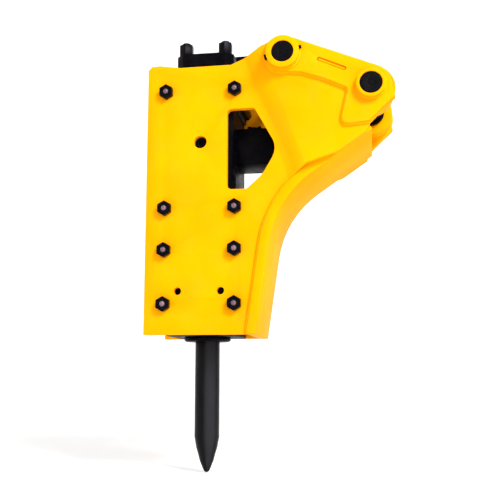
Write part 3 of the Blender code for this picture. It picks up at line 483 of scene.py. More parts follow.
def rubber(name):
    """Matt black rubber with a dusty bloom."""
    tree, shader = start_material(name, (0.02, 0.02, 0.02))
    skin = use(tree, "paint", Peel_Scale=900.0, Patch_Scale=60.0)
    dust = use(tree, "dust", Amount=0.5, Patch_Scale=60.0)["Mask"]
    colour = blend_colours(tree, skin["Patches"], (0.010, 0.010, 0.011), (0.022, 0.021, 0.020))
    tree.links.new(blend_colours(tree, dust, colour, (0.12, 0.11, 0.10)), shader.inputs["Base Color"])
    tree.links.new(sums(tree, "MULTIPLY_ADD", skin["Gloss"], 0.15, 0.75, clamp=True),
                   shader.inputs["Roughness"])
    bump(tree, shader, skin["Height"], 0.00006)


def build_materials(paint):
    """Make every finish."""
    yellow_paint("plate_yellow", paint)
    yellow_paint("weld_yellow", paint, peel=0.00022, seams=True)
    black_paint("cylinder_black", paint, scale=90.0, depth=0.00045, dust_share=0.16)
    black_paint("valve_black", paint, scale=150.0, depth=0.00030, dust_share=0.22)
    black_paint("cover_black", paint, scale=220.0, depth=0.00015, dust_share=0.10)
    film, rubbed = (0.0022, 0.0016, 0.0030), (0.035, 0.032, 0.036)
    dark_steel("bolt_black", film, rubbed, 0.34, (0.0, 1.0, 0.0))
    dark_steel("stud_black", film, rubbed, 0.36, (0.0, 0.0, 1.0))
    # Painted glint: the bolts' domed crowns are coloured far lighter than the heads round them
    dark_steel("bolt_crown_painted_glint", (0.15, 0.095, 0.115), (0.34, 0.29, 0.32), 0.24, (0.0, 1.0, 0.0), metallic=0.3)
    dark_steel("pin_black", (0.0005, 0.0005, 0.0014), (0.006, 0.006, 0.008), 0.5, (0.0, 1.0, 0.0),
               metallic=0.25)
    bright_steel("ground_steel", (0.50, 0.51, 0.53), 0.26, (0.0, 0.0, 1.0))
    bright_steel("cross_ground_steel", (0.50, 0.51, 0.53), 0.28, (1.0, 0.0, 0.0))
    bright_steel("bush_bronze", (0.56, 0.36, 0.14), 0.34, (0.0, 0.0, 1.0))
    chisel_steel("chisel_steel")
    rubber("seal_rubber")


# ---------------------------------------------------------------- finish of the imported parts

def smooth_by_angle():
    """Geometry group: smooth faces, with an edge left sharp where its faces meet at more than the angle."""
    tree = bpy.data.node_groups.new("Smooth By Angle", "GeometryNodeTree")
    tree.is_modifier = True
    tree.interface.new_socket("Geometry", in_out="INPUT", socket_type="NodeSocketGeometry")
    angle = tree.interface.new_socket("Angle", in_out="INPUT", socket_type="NodeSocketFloat")
    angle.default_value = SHARP_ANGLE
    tree.interface.new_socket("Geometry", in_out="OUTPUT", socket_type="NodeSocketGeometry")
    given = tree.nodes.new("NodeGroupInput").outputs
    fold = put(tree, "GeometryNodeInputMeshEdgeAngle").outputs["Unsigned Angle"]
    sharp = put(tree, "FunctionNodeCompare", {"A": fold, "B": given["Angle"]}, data_type="FLOAT",
                operation="GREATER_THAN").outputs[0]
    plain = put(tree, "GeometryNodeRemoveAttribute", {"Geometry": given["Geometry"], "Name": "custom_normal"})
    faces = put(tree, "GeometryNodeSetShadeSmooth", {"Geometry": plain.outputs[0], "Shade Smooth": True},
                domain="FACE").outputs[0]
    chosen = {"Geometry": faces, "Selection": sharp, "Shade Smooth": False}
    edges = put(tree, "GeometryNodeSetShadeSmooth", chosen, domain="EDGE").outputs[0]
    tree.links.new(edges, tree.nodes.new("NodeGroupOutput").inputs[0])
    return tree


def finish_part(name, material, rounding, segments=2):
    """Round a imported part's edges with modifiers on its own mesh, and give it its finish."""
    part = PARTS[name]
    part.data.materials.clear()
    part.data.materials.append(MATERIALS[material])
    weld = part.modifiers.new("join_corners", "WELD")
    weld.merge_threshold = 0.00001
    flat = part.modifiers.new("join_flats", "DECIMATE")
    flat.decimate_type = "DISSOLVE"
    flat.angle_limit = math.radians(0.5)
    bevel = part.modifiers.new("round_edges", "BEVEL")
    bevel.width = rounding
    bevel.segments = segments
    bevel.limit_method = "ANGLE"
    bevel.angle_limit = math.radians(32)
    bevel.use_clamp_overlap = True
    bevel.miter_outer = "MITER_ARC"
    smooth = part.modifiers.new("smooth", "NODES")
    smooth.node_group = bpy.data.node_groups.get("Smooth By Angle") or smooth_by_angle()
    smooth["Socket_1"] = SHARP_ANGLE


def numbered(stem, count):
    """Names of like parts, front and rear."""
    return [f"{stem}_{row}_{number}" for row in ("front", "rear") for number in range(1, count + 1)]


def both(stem):
    """Names of the near and the far part."""
    return [stem + "_near", stem + "_far"]


# ---------------------------------------------------------------- surfaces

def grid_faces(rows, columns, wrap_rows=False, wrap_columns=False):
    """Quads of a grid of points, counted row by row; either direction may close on itself."""
    row = np.arange(rows if wrap_rows else rows - 1)[:, None]
    column = np.arange(columns if wrap_columns else columns - 1)[None, :]
    down, right = (row + 1) % rows, (column + 1) % columns
    quads = np.stack([row * columns + column, row * columns + right, down * columns + right,
                      down * columns + column], -1)
    return quads.reshape(-1, 4)


def make_piece(name, points, faces, material, body=HAMMER, sharp=SHARP_ANGLE):
    """Put whole arrays of points and faces into a mesh, set its finish and let it ride on its body."""
    mesh = bpy.data.meshes.new(name)
    mesh.from_pydata(np.asarray(points, float).reshape(-1, 3).tolist(), [], [list(face) for face in faces])
    mesh.materials.append(MATERIALS[material])
    mesh.validate()
    mesh.polygons.foreach_set("use_smooth", np.ones(len(mesh.polygons), bool))
    obj = bpy.data.objects.new(name, mesh)
    bpy.context.scene.collection.objects.link(obj)
    shape = bmesh.new()
    shape.from_mesh(mesh)
    bmesh.ops.remove_doubles(shape, verts=shape.verts, dist=0.000002)
    bmesh.ops.recalc_face_normals(shape, faces=shape.faces)
    shape.to_mesh(mesh)
    shape.free()
    mesh.set_sharp_from_angle(angle=sharp)
    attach(obj, body)
    return obj


def axes(direction):
    """Two unit vectors across a direction, and the direction itself, as rows."""
    along = np.array(direction, float)
    along = along / np.linalg.norm(along)
    aid = np.array((1.0, 0.0, 0.0)) if abs(along[2]) > 0.9 else np.array((0.0, 0.0, 1.0))
    first = np.cross(aid, along)
    first = first / np.linalg.norm(first)
    return np.stack([first, np.cross(along, first), along])


def spokes(direction, sides):
    """Equal angles round a direction, the unit vector across it at each angle, and the direction itself."""
    angle = np.linspace(0.0, 2 * math.pi, sides, endpoint=False)[None, :]
    first, second, along = axes(direction)
    return angle, np.cos(angle)[..., None] * first + np.sin(angle)[..., None] * second, along


def turned_points(profile, centre, direction, sides, corners):
    """Points of a turned shape: profile (radius, height) rows carried round the direction in equal angles.

    With corners, a row's third value, from 0 to 1, draws its radius out toward a polygon: radius over the
    cosine of the angle to the middle of the nearest flat.
    """
    rows = np.array([(*row, 0.0)[:3] for row in profile], float)
    angle, ring, along = spokes(direction, sides)
    radius = np.repeat(rows[:, :1], sides, axis=1)
    if corners:
        step = 2 * math.pi / corners
        off = (angle + step / 2) % step - step / 2
        radius = radius * (1.0 + rows[:, 2:3] * (1.0 / np.cos(off) - 1.0))
    return np.asarray(centre, float) + radius[..., None] * ring + rows[:, 1, None, None] * along


def turned_piece(name, profile, centre, direction, material, sides=48, corners=0):
    """A closed turned piece: rings of points joined by quads, with its first and last ring filled."""
    points = turned_points(profile, centre, direction, sides, corners)
    rows = points.shape[0]
    faces = grid_faces(rows, sides, wrap_columns=True).tolist()
    faces += [list(range(sides))[::-1], list(range((rows - 1) * sides, rows * sides))]
    return make_piece(name, points, faces, material)


def swept_bead(name, path, out, up, leg, pitch, seed, closed=False):
    """A fillet weld: a bulging chord between two faces, carried along a path and rippled along its length.

    Section: leg times ((1 - t), t) plus the bulge times sin(pi t) along the bisector. Ripple: the section
    grows and shrinks with the sine of the arc length over the pitch, later at the bead's middle than at its
    toes.
    """
    path, out, up = (np.asarray(value, float) for value in (path, out, up))
    out = np.broadcast_to(out, path.shape)
    up = np.broadcast_to(up, path.shape)
    steps = np.linalg.norm(np.diff(path, axis=0, append=path[:1] if closed else path[-1:]), axis=1)
    length = np.concatenate([[0.0], np.cumsum(steps)[:-1]])
    t = np.linspace(0.0, 1.0, 9)[None, :]
    lag = 0.32 * np.sin(math.pi * t)
    ripple = np.sin(2 * math.pi * (length[:, None] / pitch - lag)) * np.sin(math.pi * np.clip(t, 0.08, 0.92))
    wander = np.sin(length[:, None] * 61.0 + seed) * 0.5 + np.sin(length[:, None] * 23.0 + 2.1 * seed) * 0.5
    size = leg * (1.0 + 0.055 * ripple + 0.05 * wander)
    swell = size * WELD_BULGE * np.sin(math.pi * t) * math.sqrt(0.5)
    along_out, along_up = size * (1.0 - t) + swell, size * t + swell
    surface = path[:, None] + along_out[..., None] * out[:, None] + along_up[..., None] * up[:, None]
    root = path[:, None] - 0.0004 * (out + up)[:, None]
    points = np.concatenate([surface, root], axis=1)
    rows, columns = points.shape[:2]
    faces = grid_faces(rows, columns, wrap_rows=closed, wrap_columns=True).tolist()
    if not closed:
        faces += [list(range(columns))[::-1], list(range((rows - 1) * columns, rows * columns))]
    return make_piece(name, points, faces, "weld_yellow", sharp=WELD_SHARP)


def even_path(points, spacing, closed=False):
    """Points spaced evenly along a line through the given ones, by their arc length."""
    points = np.asarray(points, float)
    if closed:
        points = np.vstack([points, points[:1]])
    length = np.concatenate([[0.0], np.cumsum(np.linalg.norm(np.diff(points, axis=0), axis=1))])
    count = max(3, int(length[-1] / spacing) + 1)
    at = np.linspace(0.0, length[-1], count, endpoint=not closed)
    return np.stack([np.interp(at, length, points[:, axis]) for axis in range(3)], axis=1)


def smooth_path(points, passes):
    """Round a path's corners: each inner point moves halfway to the mean of its neighbours, a few times."""
    points = points.copy()
    for _ in range(passes):
        points[1:-1] = 0.5 * points[1:-1] + 0.25 * (points[:-2] + points[2:])
    return points


def start_at(path, place):
    """A closed path that starts at its point nearest to a place."""
    return np.roll(path, -int(np.argmin(np.linalg.norm(path - place, axis=1))), axis=0)


def across(path):
    """Unit vectors in the XZ plane, across a path."""
    heading = np.gradient(path, axis=0)
    heading /= np.linalg.norm(heading, axis=1)[:, None]
    return np.cross(heading, (0.0, 1.0, 0.0))


def vertices(node):
    """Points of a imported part's mesh."""
    mesh = PARTS[node].data
    points = np.zeros(len(mesh.vertices) * 3)
    mesh.vertices.foreach_get("co", points)
    return points.reshape(-1, 3)


def outlines(node, level):
    """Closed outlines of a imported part's flat face at one y, along the edges that bound its triangles."""
    corners = PARTS[node].data.loops
    index = np.zeros(len(corners), int)
    corners.foreach_get("vertex_index", index)
    triangles = vertices(node)[index].reshape(-1, 3, 3)
    flat = triangles[np.all(np.abs(triangles[:, :, 1] - level) < 0.00002, axis=1)]
    keys, index = np.unique(np.round(flat.reshape(-1, 3)[:, ::2], 5), axis=0, return_inverse=True)
    index = index.reshape(-1, 3)
    edges = np.concatenate([index[:, (0, 1)], index[:, (1, 2)], index[:, (2, 0)]])
    pairs = np.sort(edges, axis=1)
    first, count = np.unique(pairs, axis=0, return_index=True, return_counts=True)[1:]
    following = dict(edges[first[count == 1]].tolist())
    loops = []
    while following:
        start, point = following.popitem()
        loop = [start]
        while point != start:
            loop.append(point)
            point = following.pop(point)
        loops.append(np.stack([keys[loop, 0], np.full(len(loop), level), keys[loop, 1]], axis=1))
    return sorted(loops, key=lambda loop: -np.ptp(loop[:, 0]))


def middle(node):
    """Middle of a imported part's box."""
    low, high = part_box(node)
    return np.array((low + high) / 2)


def end_radius(node, side):
    """Radius of a round part at its near (-1) or far (1) end, from its points there."""
    points = vertices(node)
    reach = points[:, 1] * side
    return float(np.ptp(points[reach > reach.max() - 0.0001, 0])) / 2


def circle_path(centre, radius, steps):
    """Points round a circle in the XZ plane."""
    angle = np.linspace(0.0, 2 * math.pi, steps, endpoint=False)
    ring = np.stack([np.cos(angle), np.zeros(steps), np.sin(angle)], axis=1)
    return np.asarray(centre, float) + radius * ring


# ---------------------------------------------------------------- operators

class BREAKER_OT_finishes(bpy.types.Operator):
    """Make the shader groups and every finish."""

    bl_idname = "breaker.finishes"
    bl_label = "Finishes"

    def execute(self, context):
        build_groups()
        build_materials(context.scene.breaker_paint)
        return {"FINISHED"}


class BREAKER_OT_bracket(bpy.types.Operator):
    """Round and paint the bracket's plates, doublers and bosses."""

    bl_idname = "breaker.bracket"
    bl_label = "Bracket"

    def execute(self, context):
        sizes = context.scene.breaker_sizes
        for name in both("side_plate") + both("ear_doubler") + ["back_plate"]:
            finish_part(name, "plate_yellow", sizes.plate_round, segments=3)
        for name in both("link_boss") + both("arm_boss"):
            finish_part(name, "plate_yellow", sizes.plate_round * 0.7)
        return {"FINISHED"}


class BREAKER_OT_hammer(bpy.types.Operator):
    """Round and paint the hammer's body, valve and covers."""

    bl_idname = "breaker.hammer"
    bl_label = "Hammer body"

    def execute(self, context):
        sizes = context.scene.breaker_sizes
        for name in ("front_head", "cylinder", "back_head"):
            finish_part(name, "cylinder_black", sizes.small_round * 1.5)
        finish_part("valve_block", "valve_black", sizes.small_round * 1.5)
        finish_part("front_cover", "cover_black", sizes.small_round)
        for name in both("arm_spacer") + ["bridge_plate"]:
            finish_part(name, "cover_black", sizes.small_round)
        return {"FINISHED"}


class BREAKER_OT_steel(bpy.types.Operator):
    """Finish pins, bolts, nuts, chisel, bushes, seal and the moving parts inside."""

    bl_idname = "breaker.steel"
    bl_label = "Steel parts"

    def execute(self, context):
        small = context.scene.breaker_sizes.small_round
        for name in ("arm_pin", "link_pin", "arm_lock_bolt", "link_lock_bolt"):
            finish_part(name, "pin_black", small)
        for name in numbered("side_bolt", 4) + numbered("side_nut", 4):
            finish_part(name, "bolt_black", small)
        for name in ("through_bolt", "through_nut"):
            for row in both(name):
                for end in ("front", "rear"):
                    finish_part(f"{row}_{end}", "stud_black", small)
        for name in ("valve_cap", "hose_adapter_in", "hose_adapter_out"):
            finish_part(name, "stud_black", small)
        for name in both("stop_pin"):
            finish_part(name, "bolt_black", small)
        finish_part("chisel", "chisel_steel", small * 1.3)
        for name in ("thrust_ring", "piston", "seal_retainer", "valve_spool"):
            finish_part(name, "ground_steel", small * 0.5)
        finish_part("throttle_adjuster", "cross_ground_steel", small * 0.5)
        for name in both("retaining_pin"):
            finish_part(name, "cross_ground_steel", small * 0.5)
        finish_part("lower_bush", "bush_bronze", small * 0.5)
        finish_part("dust_seal", "seal_rubber", small * 0.5)
        return {"FINISHED"}


class BREAKER_OT_doubler_welds(bpy.types.Operator):
    """Fillet weld along the doubler's lower border on each ear, and the plug weld in its slot."""

    bl_idname = "breaker.doubler_welds"
    bl_label = "Doubler welds"

    def execute(self, context):
        sizes = context.scene.breaker_sizes
        for label, side in SIDES:
            low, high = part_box("ear_doubler_" + label)
            inner = high.y if side < 0 else low.y
            outer = low.y if side < 0 else high.y
            border = outlines("ear_doubler_" + label, inner)[0]
            path = even_path(border, BEAD_STEP, closed=True)
            link, arm = middle("link_pin"), middle("arm_pin")
            path = start_at(path, (link[0] + DOUBLER_WELD_START[0], inner, link[2] + DOUBLER_WELD_START[1]))
            if path[40, 2] > path[0, 2] - 0.002:
                path = np.roll(path[::-1], 1, axis=0)
            heel = np.array((arm[0] + DOUBLER_WELD_END[0], inner, arm[2] + DOUBLER_WELD_END[1]))
            end = int(np.argmin(np.linalg.norm(path - heel, axis=1)))
            path = smooth_path(path[:end], 6)
            path[:, 1] = inner + side * 0.0003
            out = across(path)
            if np.mean(np.sum(out * (path - border.mean(axis=0)), axis=1)) < 0:
                out = -out
            swept_bead("weld_doubler_" + label, path, out, (0.0, side, 0.0), sizes.weld_leg, sizes.weld_pitch,
                       seed=side)
            self.fill_slot(label, side, outer, sizes)
        return {"FINISHED"}

    def fill_slot(self, label, side, outer, sizes):
        """The slot's weld: its outline shrinks step by step to its middle line and rises in a dome."""
        slot = min(outlines("ear_doubler_" + label, outer)[1:], key=lambda loop: np.ptp(loop[:, 2]))
        path = even_path(slot, SLOT_STEP, closed=True)
        centre = path.mean(axis=0)
        spread = path - centre
        direction = spread[np.argmax(np.linalg.norm(spread, axis=1))]
        direction = direction / np.linalg.norm(direction)
        reach = np.clip(spread @ direction, -0.034, 0.034)
        spine = centre + reach[:, None] * direction
        share = np.linspace(0.0, 1.0, 10)[:, None]
        ripple = 0.0005 * np.sin(2 * math.pi * reach[None, :] / sizes.weld_pitch) * np.sin(math.pi * share)
        depth = -0.0075 + 0.0046 * np.sin(0.5 * math.pi * share) + ripple
        points = path[None] * (1.0 - share[..., None]) + spine[None] * share[..., None]
        points = points + np.array((0.0, side, 0.0)) * depth[..., None]
        faces = grid_faces(*points.shape[:2], wrap_columns=True)
        make_piece("plug_weld_" + label, points, faces, "weld_yellow", sharp=WELD_SHARP)


class BREAKER_OT_boss_welds(bpy.types.Operator):
    """Ring welds round both pins' bosses, outside on the doublers and inside on the ears."""

    bl_idname = "breaker.boss_welds"
    bl_label = "Boss welds"

    def execute(self, context):
        sizes = context.scene.breaker_sizes
        for label, side in SIDES:
            low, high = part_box("ear_doubler_" + label)
            face = low.y if side < 0 else high.y
            panel_low, panel_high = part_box("side_plate_" + label)
            ear_inner = side * (abs(panel_low.y if side < 0 else panel_high.y) - PLATE_THICKNESS)
            for pin in ("arm", "link"):
                radius = end_radius(f"{pin}_boss_{label}", side)
                centre = middle(pin + "_pin")
                centre[1] = face + side * 0.0002
                leg = sizes.weld_leg * (0.62 if pin == "arm" else 0.8)
                path = circle_path(centre, radius, int(2 * math.pi * radius / RING_STEP))
                out = (path - centre) / radius
                swept_bead(f"weld_{pin}_boss_{label}", path, out, (0.0, side, 0.0), leg, sizes.weld_pitch,
                           seed=radius, closed=True)
                centre[1] = ear_inner - side * 0.0002
                flange_low, flange_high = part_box(f"{pin}_boss_{label}")
                radius = (flange_high.x - flange_low.x) / 2
                path = circle_path(centre, radius, int(2 * math.pi * radius / RING_STEP))
                swept_bead(f"weld_{pin}_flange_{label}", path, (path - centre) / radius, (0.0, -side, 0.0),
                           leg, sizes.weld_pitch, seed=3.0, closed=True)
        return {"FINISHED"}


class BREAKER_OT_plate_welds(bpy.types.Operator):
    """Fillet welds between the body panels and the back plate."""

    bl_idname = "breaker.plate_welds"
    bl_label = "Plate welds"

    def execute(self, context):
        sizes = context.scene.breaker_sizes
        foot_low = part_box("back_plate")[0]
        for label, side in SIDES:
            panel_low, panel_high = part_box("side_plate_" + label)
            panel = side * (abs(panel_low.y if side < 0 else panel_high.y) - EAR_STEP)
            border = outlines("side_plate_" + label, panel)[0]
            path = even_path(border, BEAD_STEP, closed=True)
            path = start_at(path, (foot_low.x, panel, foot_low.z))
            if path[60, 2] < foot_low.z + 0.03:
                path = np.roll(path[::-1], 1, axis=0)
            path = path[4:]
            run = int(np.argmax(path[:, 2] > foot_low.z + BACK_WELD_HEIGHT))
            path = smooth_path(path[:run], 10)
            path[:, 1] = panel
            out = across(path)
            out = out * np.sign(-out[:1, :1])
            swept_bead("weld_back_plate_" + label, path, out, (0.0, side, 0.0), sizes.weld_leg,
                       sizes.weld_pitch, seed=5.0 + side)
        return {"FINISHED"}


def thread_piece(name, centre, direction, radius, length, pitch, stand, material):
    """A screw thread: radius plus the stand times a softened triangle wave of height over pitch and angle.

    The wave fades over 0.6 of a turn at each end, and the ends close down onto the bar.
    """
    sides = 48
    rows = int(length / pitch * 12) + 1
    height = np.linspace(0.0, length, rows)[:, None]
    angle, ring, along = spokes(direction, sides)
    phase = (height / pitch - angle / (2 * math.pi)) % 1.0
    wave = np.clip(1.35 * (1.0 - np.abs(2.0 * phase - 1.0)) - 0.12, 0.0, 1.0)
    fade = np.clip(np.minimum(height, length - height) / (0.6 * pitch), 0.0, 1.0)
    ring_radius = radius + 0.00005 + stand * wave * fade
    points = np.asarray(centre, float) + ring_radius[..., None] * ring + height[..., None] * along
    ends = np.array((0.0, length))[:, None, None] * along
    inner = np.asarray(centre, float) + (radius - 0.0004) * ring + ends
    points = np.concatenate([inner[:1], points, inner[1:]])
    faces = grid_faces(points.shape[0], sides, wrap_rows=True, wrap_columns=True)
    return make_piece(name, points, faces, material, sharp=0.9)


class BREAKER_OT_threads(bpy.types.Operator):
    """Screw threads on the ends of the through bolts, the side bolts and the hose adapters."""

    bl_idname = "breaker.threads"
    bl_label = "Threads"

    def execute(self, context):
        sizes = context.scene.breaker_sizes
        pitch, stand = sizes.thread_pitch, sizes.thread_depth
        for row, _ in SIDES:
            for end in ("front", "rear"):
                low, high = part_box(f"through_bolt_{row}_{end}")
                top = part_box(f"through_nut_{row}_{end}")[1].z
                centre = middle(f"through_bolt_{row}_{end}")
                centre[2] = top + 0.0002
                thread_piece(f"through_thread_{row}_{end}", centre, (0, 0, 1), (high.x - low.x) / 2,
                             high.z - top - 0.0018, pitch, stand, "stud_black")
        for bolt, nut in zip(numbered("side_bolt", 4), numbered("side_nut", 4)):
            centre = middle(nut)
            start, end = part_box(nut)[1].y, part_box(bolt)[1].y
            centre[1] = start + 0.0002
            thread_piece(bolt.replace("bolt", "thread"), centre, (0, 1, 0), end_radius(bolt, 1.0),
                         end - start - 0.0012, pitch * 0.8, stand, "bolt_black")
        for label in ("in", "out"):
            low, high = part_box("hose_adapter_" + label)
            centre = middle("hose_adapter_" + label)
            centre[2] = high.z - 0.026
            thread_piece("adapter_thread_" + label, centre, (0, 0, 1), 0.014, 0.0245, pitch * 0.6, stand,
                         "stud_black")
        return {"FINISHED"}


class BREAKER_OT_pin_ends(bpy.types.Operator):
    """Dished ends with a drawing hole on both ear pins."""

    bl_idname = "breaker.pin_ends"
    bl_label = "Pin ends"

    def execute(self, context):
        for pin in ("arm", "link"):
            low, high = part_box(pin + "_pin")
            radius = (high.x - low.x) / 2
            for label, side in SIDES:
                centre = middle(pin + "_pin")
                centre[1] = high.y if side > 0 else low.y
                profile = [(radius - 0.0040, -0.0008), (radius - 0.0022, 0.0004), (radius - 0.0034, 0.0017),
                           (radius - 0.0060, 0.0020), (radius * 0.62, 0.0014), (radius * 0.36, 0.0013),
                           (radius * 0.30, 0.0010), (radius * 0.26, -0.0006), (radius * 0.24, -0.0007),
                           (radius * 0.02, -0.0007)]
                turned_piece(f"{pin}_pin_end_{label}", profile, centre, (0, side, 0), "pin_black", sides=64)
        return {"FINISHED"}


class BREAKER_OT_bolt_faces(bpy.types.Operator):
    """Domed crowns on the side bolts' hex heads, raised in the forging die, coloured lighter as a painted
    glint.
    """

    bl_idname = "breaker.bolt_faces"
    bl_label = "Bolt faces"

    def execute(self, context):
        for bolt in numbered("side_bolt", 4):
            low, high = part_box(bolt)
            centre = middle(bolt)
            centre[1] = low.y
            flats = min(high.x - low.x, high.z - low.z) / 2 * 0.9
            dome = [(0.46, -0.0006), (0.45, 0.0004), (0.40, 0.0018), (0.33, 0.0030), (0.25, 0.0038),
                    (0.17, 0.0043), (0.09, 0.0046), (0.01, 0.0047)]
            profile = [(flats * share, height) for share, height in dome]
            turned_piece(bolt.replace("bolt", "bolt_face"), profile, centre, (0, -1, 0), "bolt_crown_painted_glint")
        return {"FINISHED"}


class BREAKER_OT_fittings(bpy.types.Operator):
    """Gas plug on the back head, plugs behind the sight holes, the valve's cap screws and a grease nipple."""

    bl_idname = "breaker.fittings"
    bl_label = "Small fittings"

    def execute(self, context):
        head_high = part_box("back_head")[1]
        centre = middle("back_head")
        centre[2] = head_high.z
        collar = [(0.0235, -0.0010), (0.0235, 0.0026), (0.0225, 0.0034), (0.0190, 0.0036)]
        hexagon = [(0.0150, 0.0036, 1), (0.0156, 0.0044, 1), (0.0156, 0.0118, 1), (0.0146, 0.0132, 0.6),
                   (0.0120, 0.0138), (0.0080, 0.0139), (0.0072, 0.0132), (0.0070, 0.0090), (0.0002, 0.0090)]
        turned_piece("gas_plug", collar + hexagon, centre, (0, 0, 1), "stud_black", sides=72, corners=6)
        body_low, body_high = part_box("cylinder")
        for label, side in SIDES:
            face = body_high.y if side > 0 else body_low.y
            place = np.array((middle("cylinder")[0], face, self.sight_height(label)))
            plug = [(0.0166, -0.0010), (0.0166, 0.0050), (0.0156, 0.0060), (0.0100, 0.0064), (0.0090, 0.0060),
                    (0.0074, 0.0058, 1), (0.0070, 0.0014, 1), (0.0002, 0.0010)]
            turned_piece("sight_plug_" + label, plug, place, (0, side, 0), "cover_black", sides=72, corners=6)
        cap_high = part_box("valve_cap")[1]
        centre = middle("valve_cap")
        for number, angle in enumerate(np.radians((45, 135, 225, 315)), start=1):
            place = centre + 0.0205 * np.array((math.cos(angle), math.sin(angle), 0.0))
            place[2] = cap_high.z
            screw = [(0.0046, -0.0008), (0.0046, 0.0046), (0.0041, 0.0052), (0.0030, 0.0054),
                     (0.0027, 0.0052, 1), (0.0026, 0.0022, 1), (0.0002, 0.0020)]
            turned_piece(f"valve_screw_{number}", screw, place, (0, 0, 1), "stud_black", corners=6)
        front_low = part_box("front_head")[0]
        place = np.array((front_low.x, 0.0, front_low.z + 0.052))
        nipple = [(0.0052, -0.0010, 1), (0.0052, 0.0046, 1), (0.0040, 0.0050), (0.0026, 0.0056),
                  (0.0024, 0.0078), (0.0032, 0.0090), (0.0034, 0.0102), (0.0026, 0.0114), (0.0010, 0.0118),
                  (0.0002, 0.0116)]
        turned_piece("grease_nipple", nipple, place, (-1, 0, 0), "ground_steel", corners=6)
        return {"FINISHED"}

    @staticmethod
    def sight_height(label):
        """Height of the side plate's sight hole, the outline that lies right on the chisel's axis."""
        low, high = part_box("side_plate_" + label)
        level = (abs(low.y) if label == "near" else abs(high.y)) - EAR_STEP
        loops = outlines("side_plate_" + label, level if label == "far" else -level)
        axis = middle("chisel")[0]
        holes = [loop for loop in loops[1:] if abs(loop[:, 0].mean() - axis) < 0.002]
        if not holes:
            raise RuntimeError("the side plate has no hole on the chisel's axis")
        return float(holes[0][:, 2].mean())


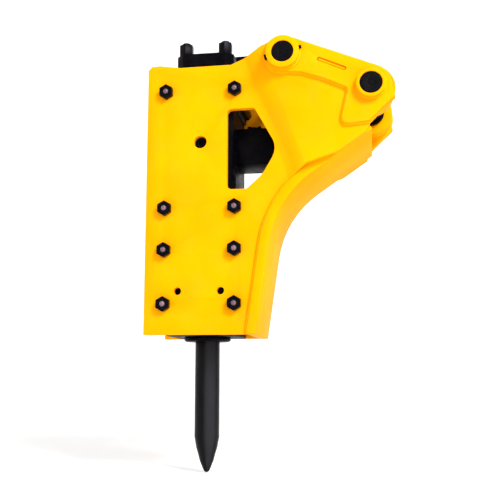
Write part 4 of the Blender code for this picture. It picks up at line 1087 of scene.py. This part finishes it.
class BREAKER_OT_stage(bpy.types.Operator):
    """Plain pale floor that curves up all round, an even sky, one soft lamp and the camera."""

    bl_idname = "breaker.stage"
    bl_label = "Stage"

    def execute(self, context):
        studio = context.scene.breaker_studio
        low, high = CAD_BOX
        self.floor(low, high, studio)
        self.lamps(studio)
        camera = bpy.data.objects.new("camera", bpy.data.cameras.new("camera"))
        context.scene.collection.objects.link(camera)
        camera.data.lens = studio.lens
        camera.data.sensor_width = 36.0
        camera.data.clip_start = 0.02
        camera.data.clip_end = 60.0
        camera.location = CAMERA_PLACE
        camera.rotation_euler = (0.5 * math.pi + CAMERA_LIFT, 0.0, CAMERA_TURN)
        context.scene.camera = camera
        return {"FINISHED"}

    @staticmethod
    def floor(low, high, studio):
        """A turned sheet: flat out to its edge, then height = rise times (1 - cos) of a quarter turn."""
        rim = np.linspace(0.0, 0.5 * math.pi, studio.rings)
        radius = np.concatenate([[0.001, 0.4, 1.2, 2.6, 4.0], 5.0 + 2.4 * np.sin(rim), [7.4]])
        height = np.concatenate([np.zeros(5), 2.4 * (1.0 - np.cos(rim)), [6.5]])
        angle = np.linspace(0.0, 2 * math.pi, FLOOR_SIDES, endpoint=False)
        x = (low.x + high.x) / 2 + radius[:, None] * np.cos(angle)
        y = (low.y + high.y) / 2 + radius[:, None] * np.sin(angle)
        z = np.broadcast_to(low.z - studio.floor_drop + height[:, None], x.shape)
        points = np.stack([x, y, z], axis=-1)
        faces = grid_faces(*points.shape[:2], wrap_columns=True).tolist()
        faces += [list(range(FLOOR_SIDES))[::-1]]
        mesh = bpy.data.meshes.new("floor")
        mesh.from_pydata(points.reshape(-1, 3).tolist(), [], faces)
        mesh.polygons.foreach_set("use_smooth", np.ones(len(mesh.polygons), bool))
        floor = bpy.data.objects.new("floor", mesh)
        bpy.context.scene.collection.objects.link(floor)
        tree, shader = start_material("pale_floor", (0.9, 0.9, 0.9))
        patches = use(tree, "paint", Peel_Scale=60.0, Patch_Scale=0.6)["Patches"]
        pale = blend_colours(tree, patches, (0.86, 0.86, 0.86), (0.88, 0.88, 0.88))
        tree.links.new(pale, shader.inputs["Base Color"])
        shader.inputs["Roughness"].default_value = 0.9
        shader.inputs["Specular IOR Level"].default_value = 0.1
        shader.inputs["Emission Color"].default_value = WHITE
        shader.inputs["Emission Strength"].default_value = studio.floor_glow
        mesh.materials.append(MATERIALS["pale_floor"])

    @staticmethod
    def lamps(studio):
        """An even sky and one large soft lamp from the upper right."""
        world = bpy.data.worlds.new("sky")
        world.use_nodes = True
        world.node_tree.nodes["Background"].inputs["Color"].default_value = WHITE
        world.node_tree.nodes["Background"].inputs["Strength"].default_value = studio.sky
        bpy.context.scene.world = world
        light = bpy.data.lights.new("key_lamp", "AREA")
        light.shape = "DISK"
        light.size = LAMP_WIDTH
        light.energy = studio.key
        lamp = bpy.data.objects.new("key_lamp", light)
        bpy.context.scene.collection.objects.link(lamp)
        matrix = np.eye(4)
        matrix[:3, :3] = axes(LAMP_PLACE - LAMP_AIM).T
        matrix[:3, 3] = LAMP_PLACE
        lamp.matrix_world = matrix.T.tolist()


STEPS = (BREAKER_OT_finishes, BREAKER_OT_bracket, BREAKER_OT_hammer, BREAKER_OT_steel,
         BREAKER_OT_doubler_welds, BREAKER_OT_boss_welds, BREAKER_OT_plate_welds, BREAKER_OT_threads,
         BREAKER_OT_pin_ends, BREAKER_OT_bolt_faces, BREAKER_OT_fittings, BREAKER_OT_stage)


class BREAKER_PT_panel(bpy.types.Panel):
    """The breaker's sizes, colours and steps."""

    bl_idname = "BREAKER_PT_panel"
    bl_label = "Hydraulic breaker"
    bl_space_type = "VIEW_3D"
    bl_region_type = "UI"
    bl_category = "Breaker"

    def draw(self, context):
        for group in (context.scene.breaker_paint, context.scene.breaker_sizes, context.scene.breaker_studio):
            box = self.layout.box()
            for key in group.__annotations__:
                box.prop(group, key)
        for step in STEPS:
            self.layout.operator(step.bl_idname)


CLASSES = (BreakerPaint, BreakerSizes, BreakerStudio, *STEPS, BREAKER_PT_panel)


def register():
    """Register the classes and hang the settings on the scene."""
    for entry in CLASSES:
        bpy.utils.register_class(entry)
    bpy.types.Scene.breaker_paint = PointerProperty(type=BreakerPaint)
    bpy.types.Scene.breaker_sizes = PointerProperty(type=BreakerSizes)
    bpy.types.Scene.breaker_studio = PointerProperty(type=BreakerStudio)


def unregister():
    """Take the settings and classes away again."""
    del bpy.types.Scene.breaker_paint
    del bpy.types.Scene.breaker_sizes
    del bpy.types.Scene.breaker_studio
    for entry in reversed(CLASSES):
        bpy.utils.unregister_class(entry)


def main():
    """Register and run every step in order."""
    register()
    for step in STEPS:
        category, name = step.bl_idname.split(".")
        getattr(getattr(bpy.ops, category), name)()
    bpy.context.scene.view_settings.view_transform = "Standard"


if __name__ == "__main__":
    main()
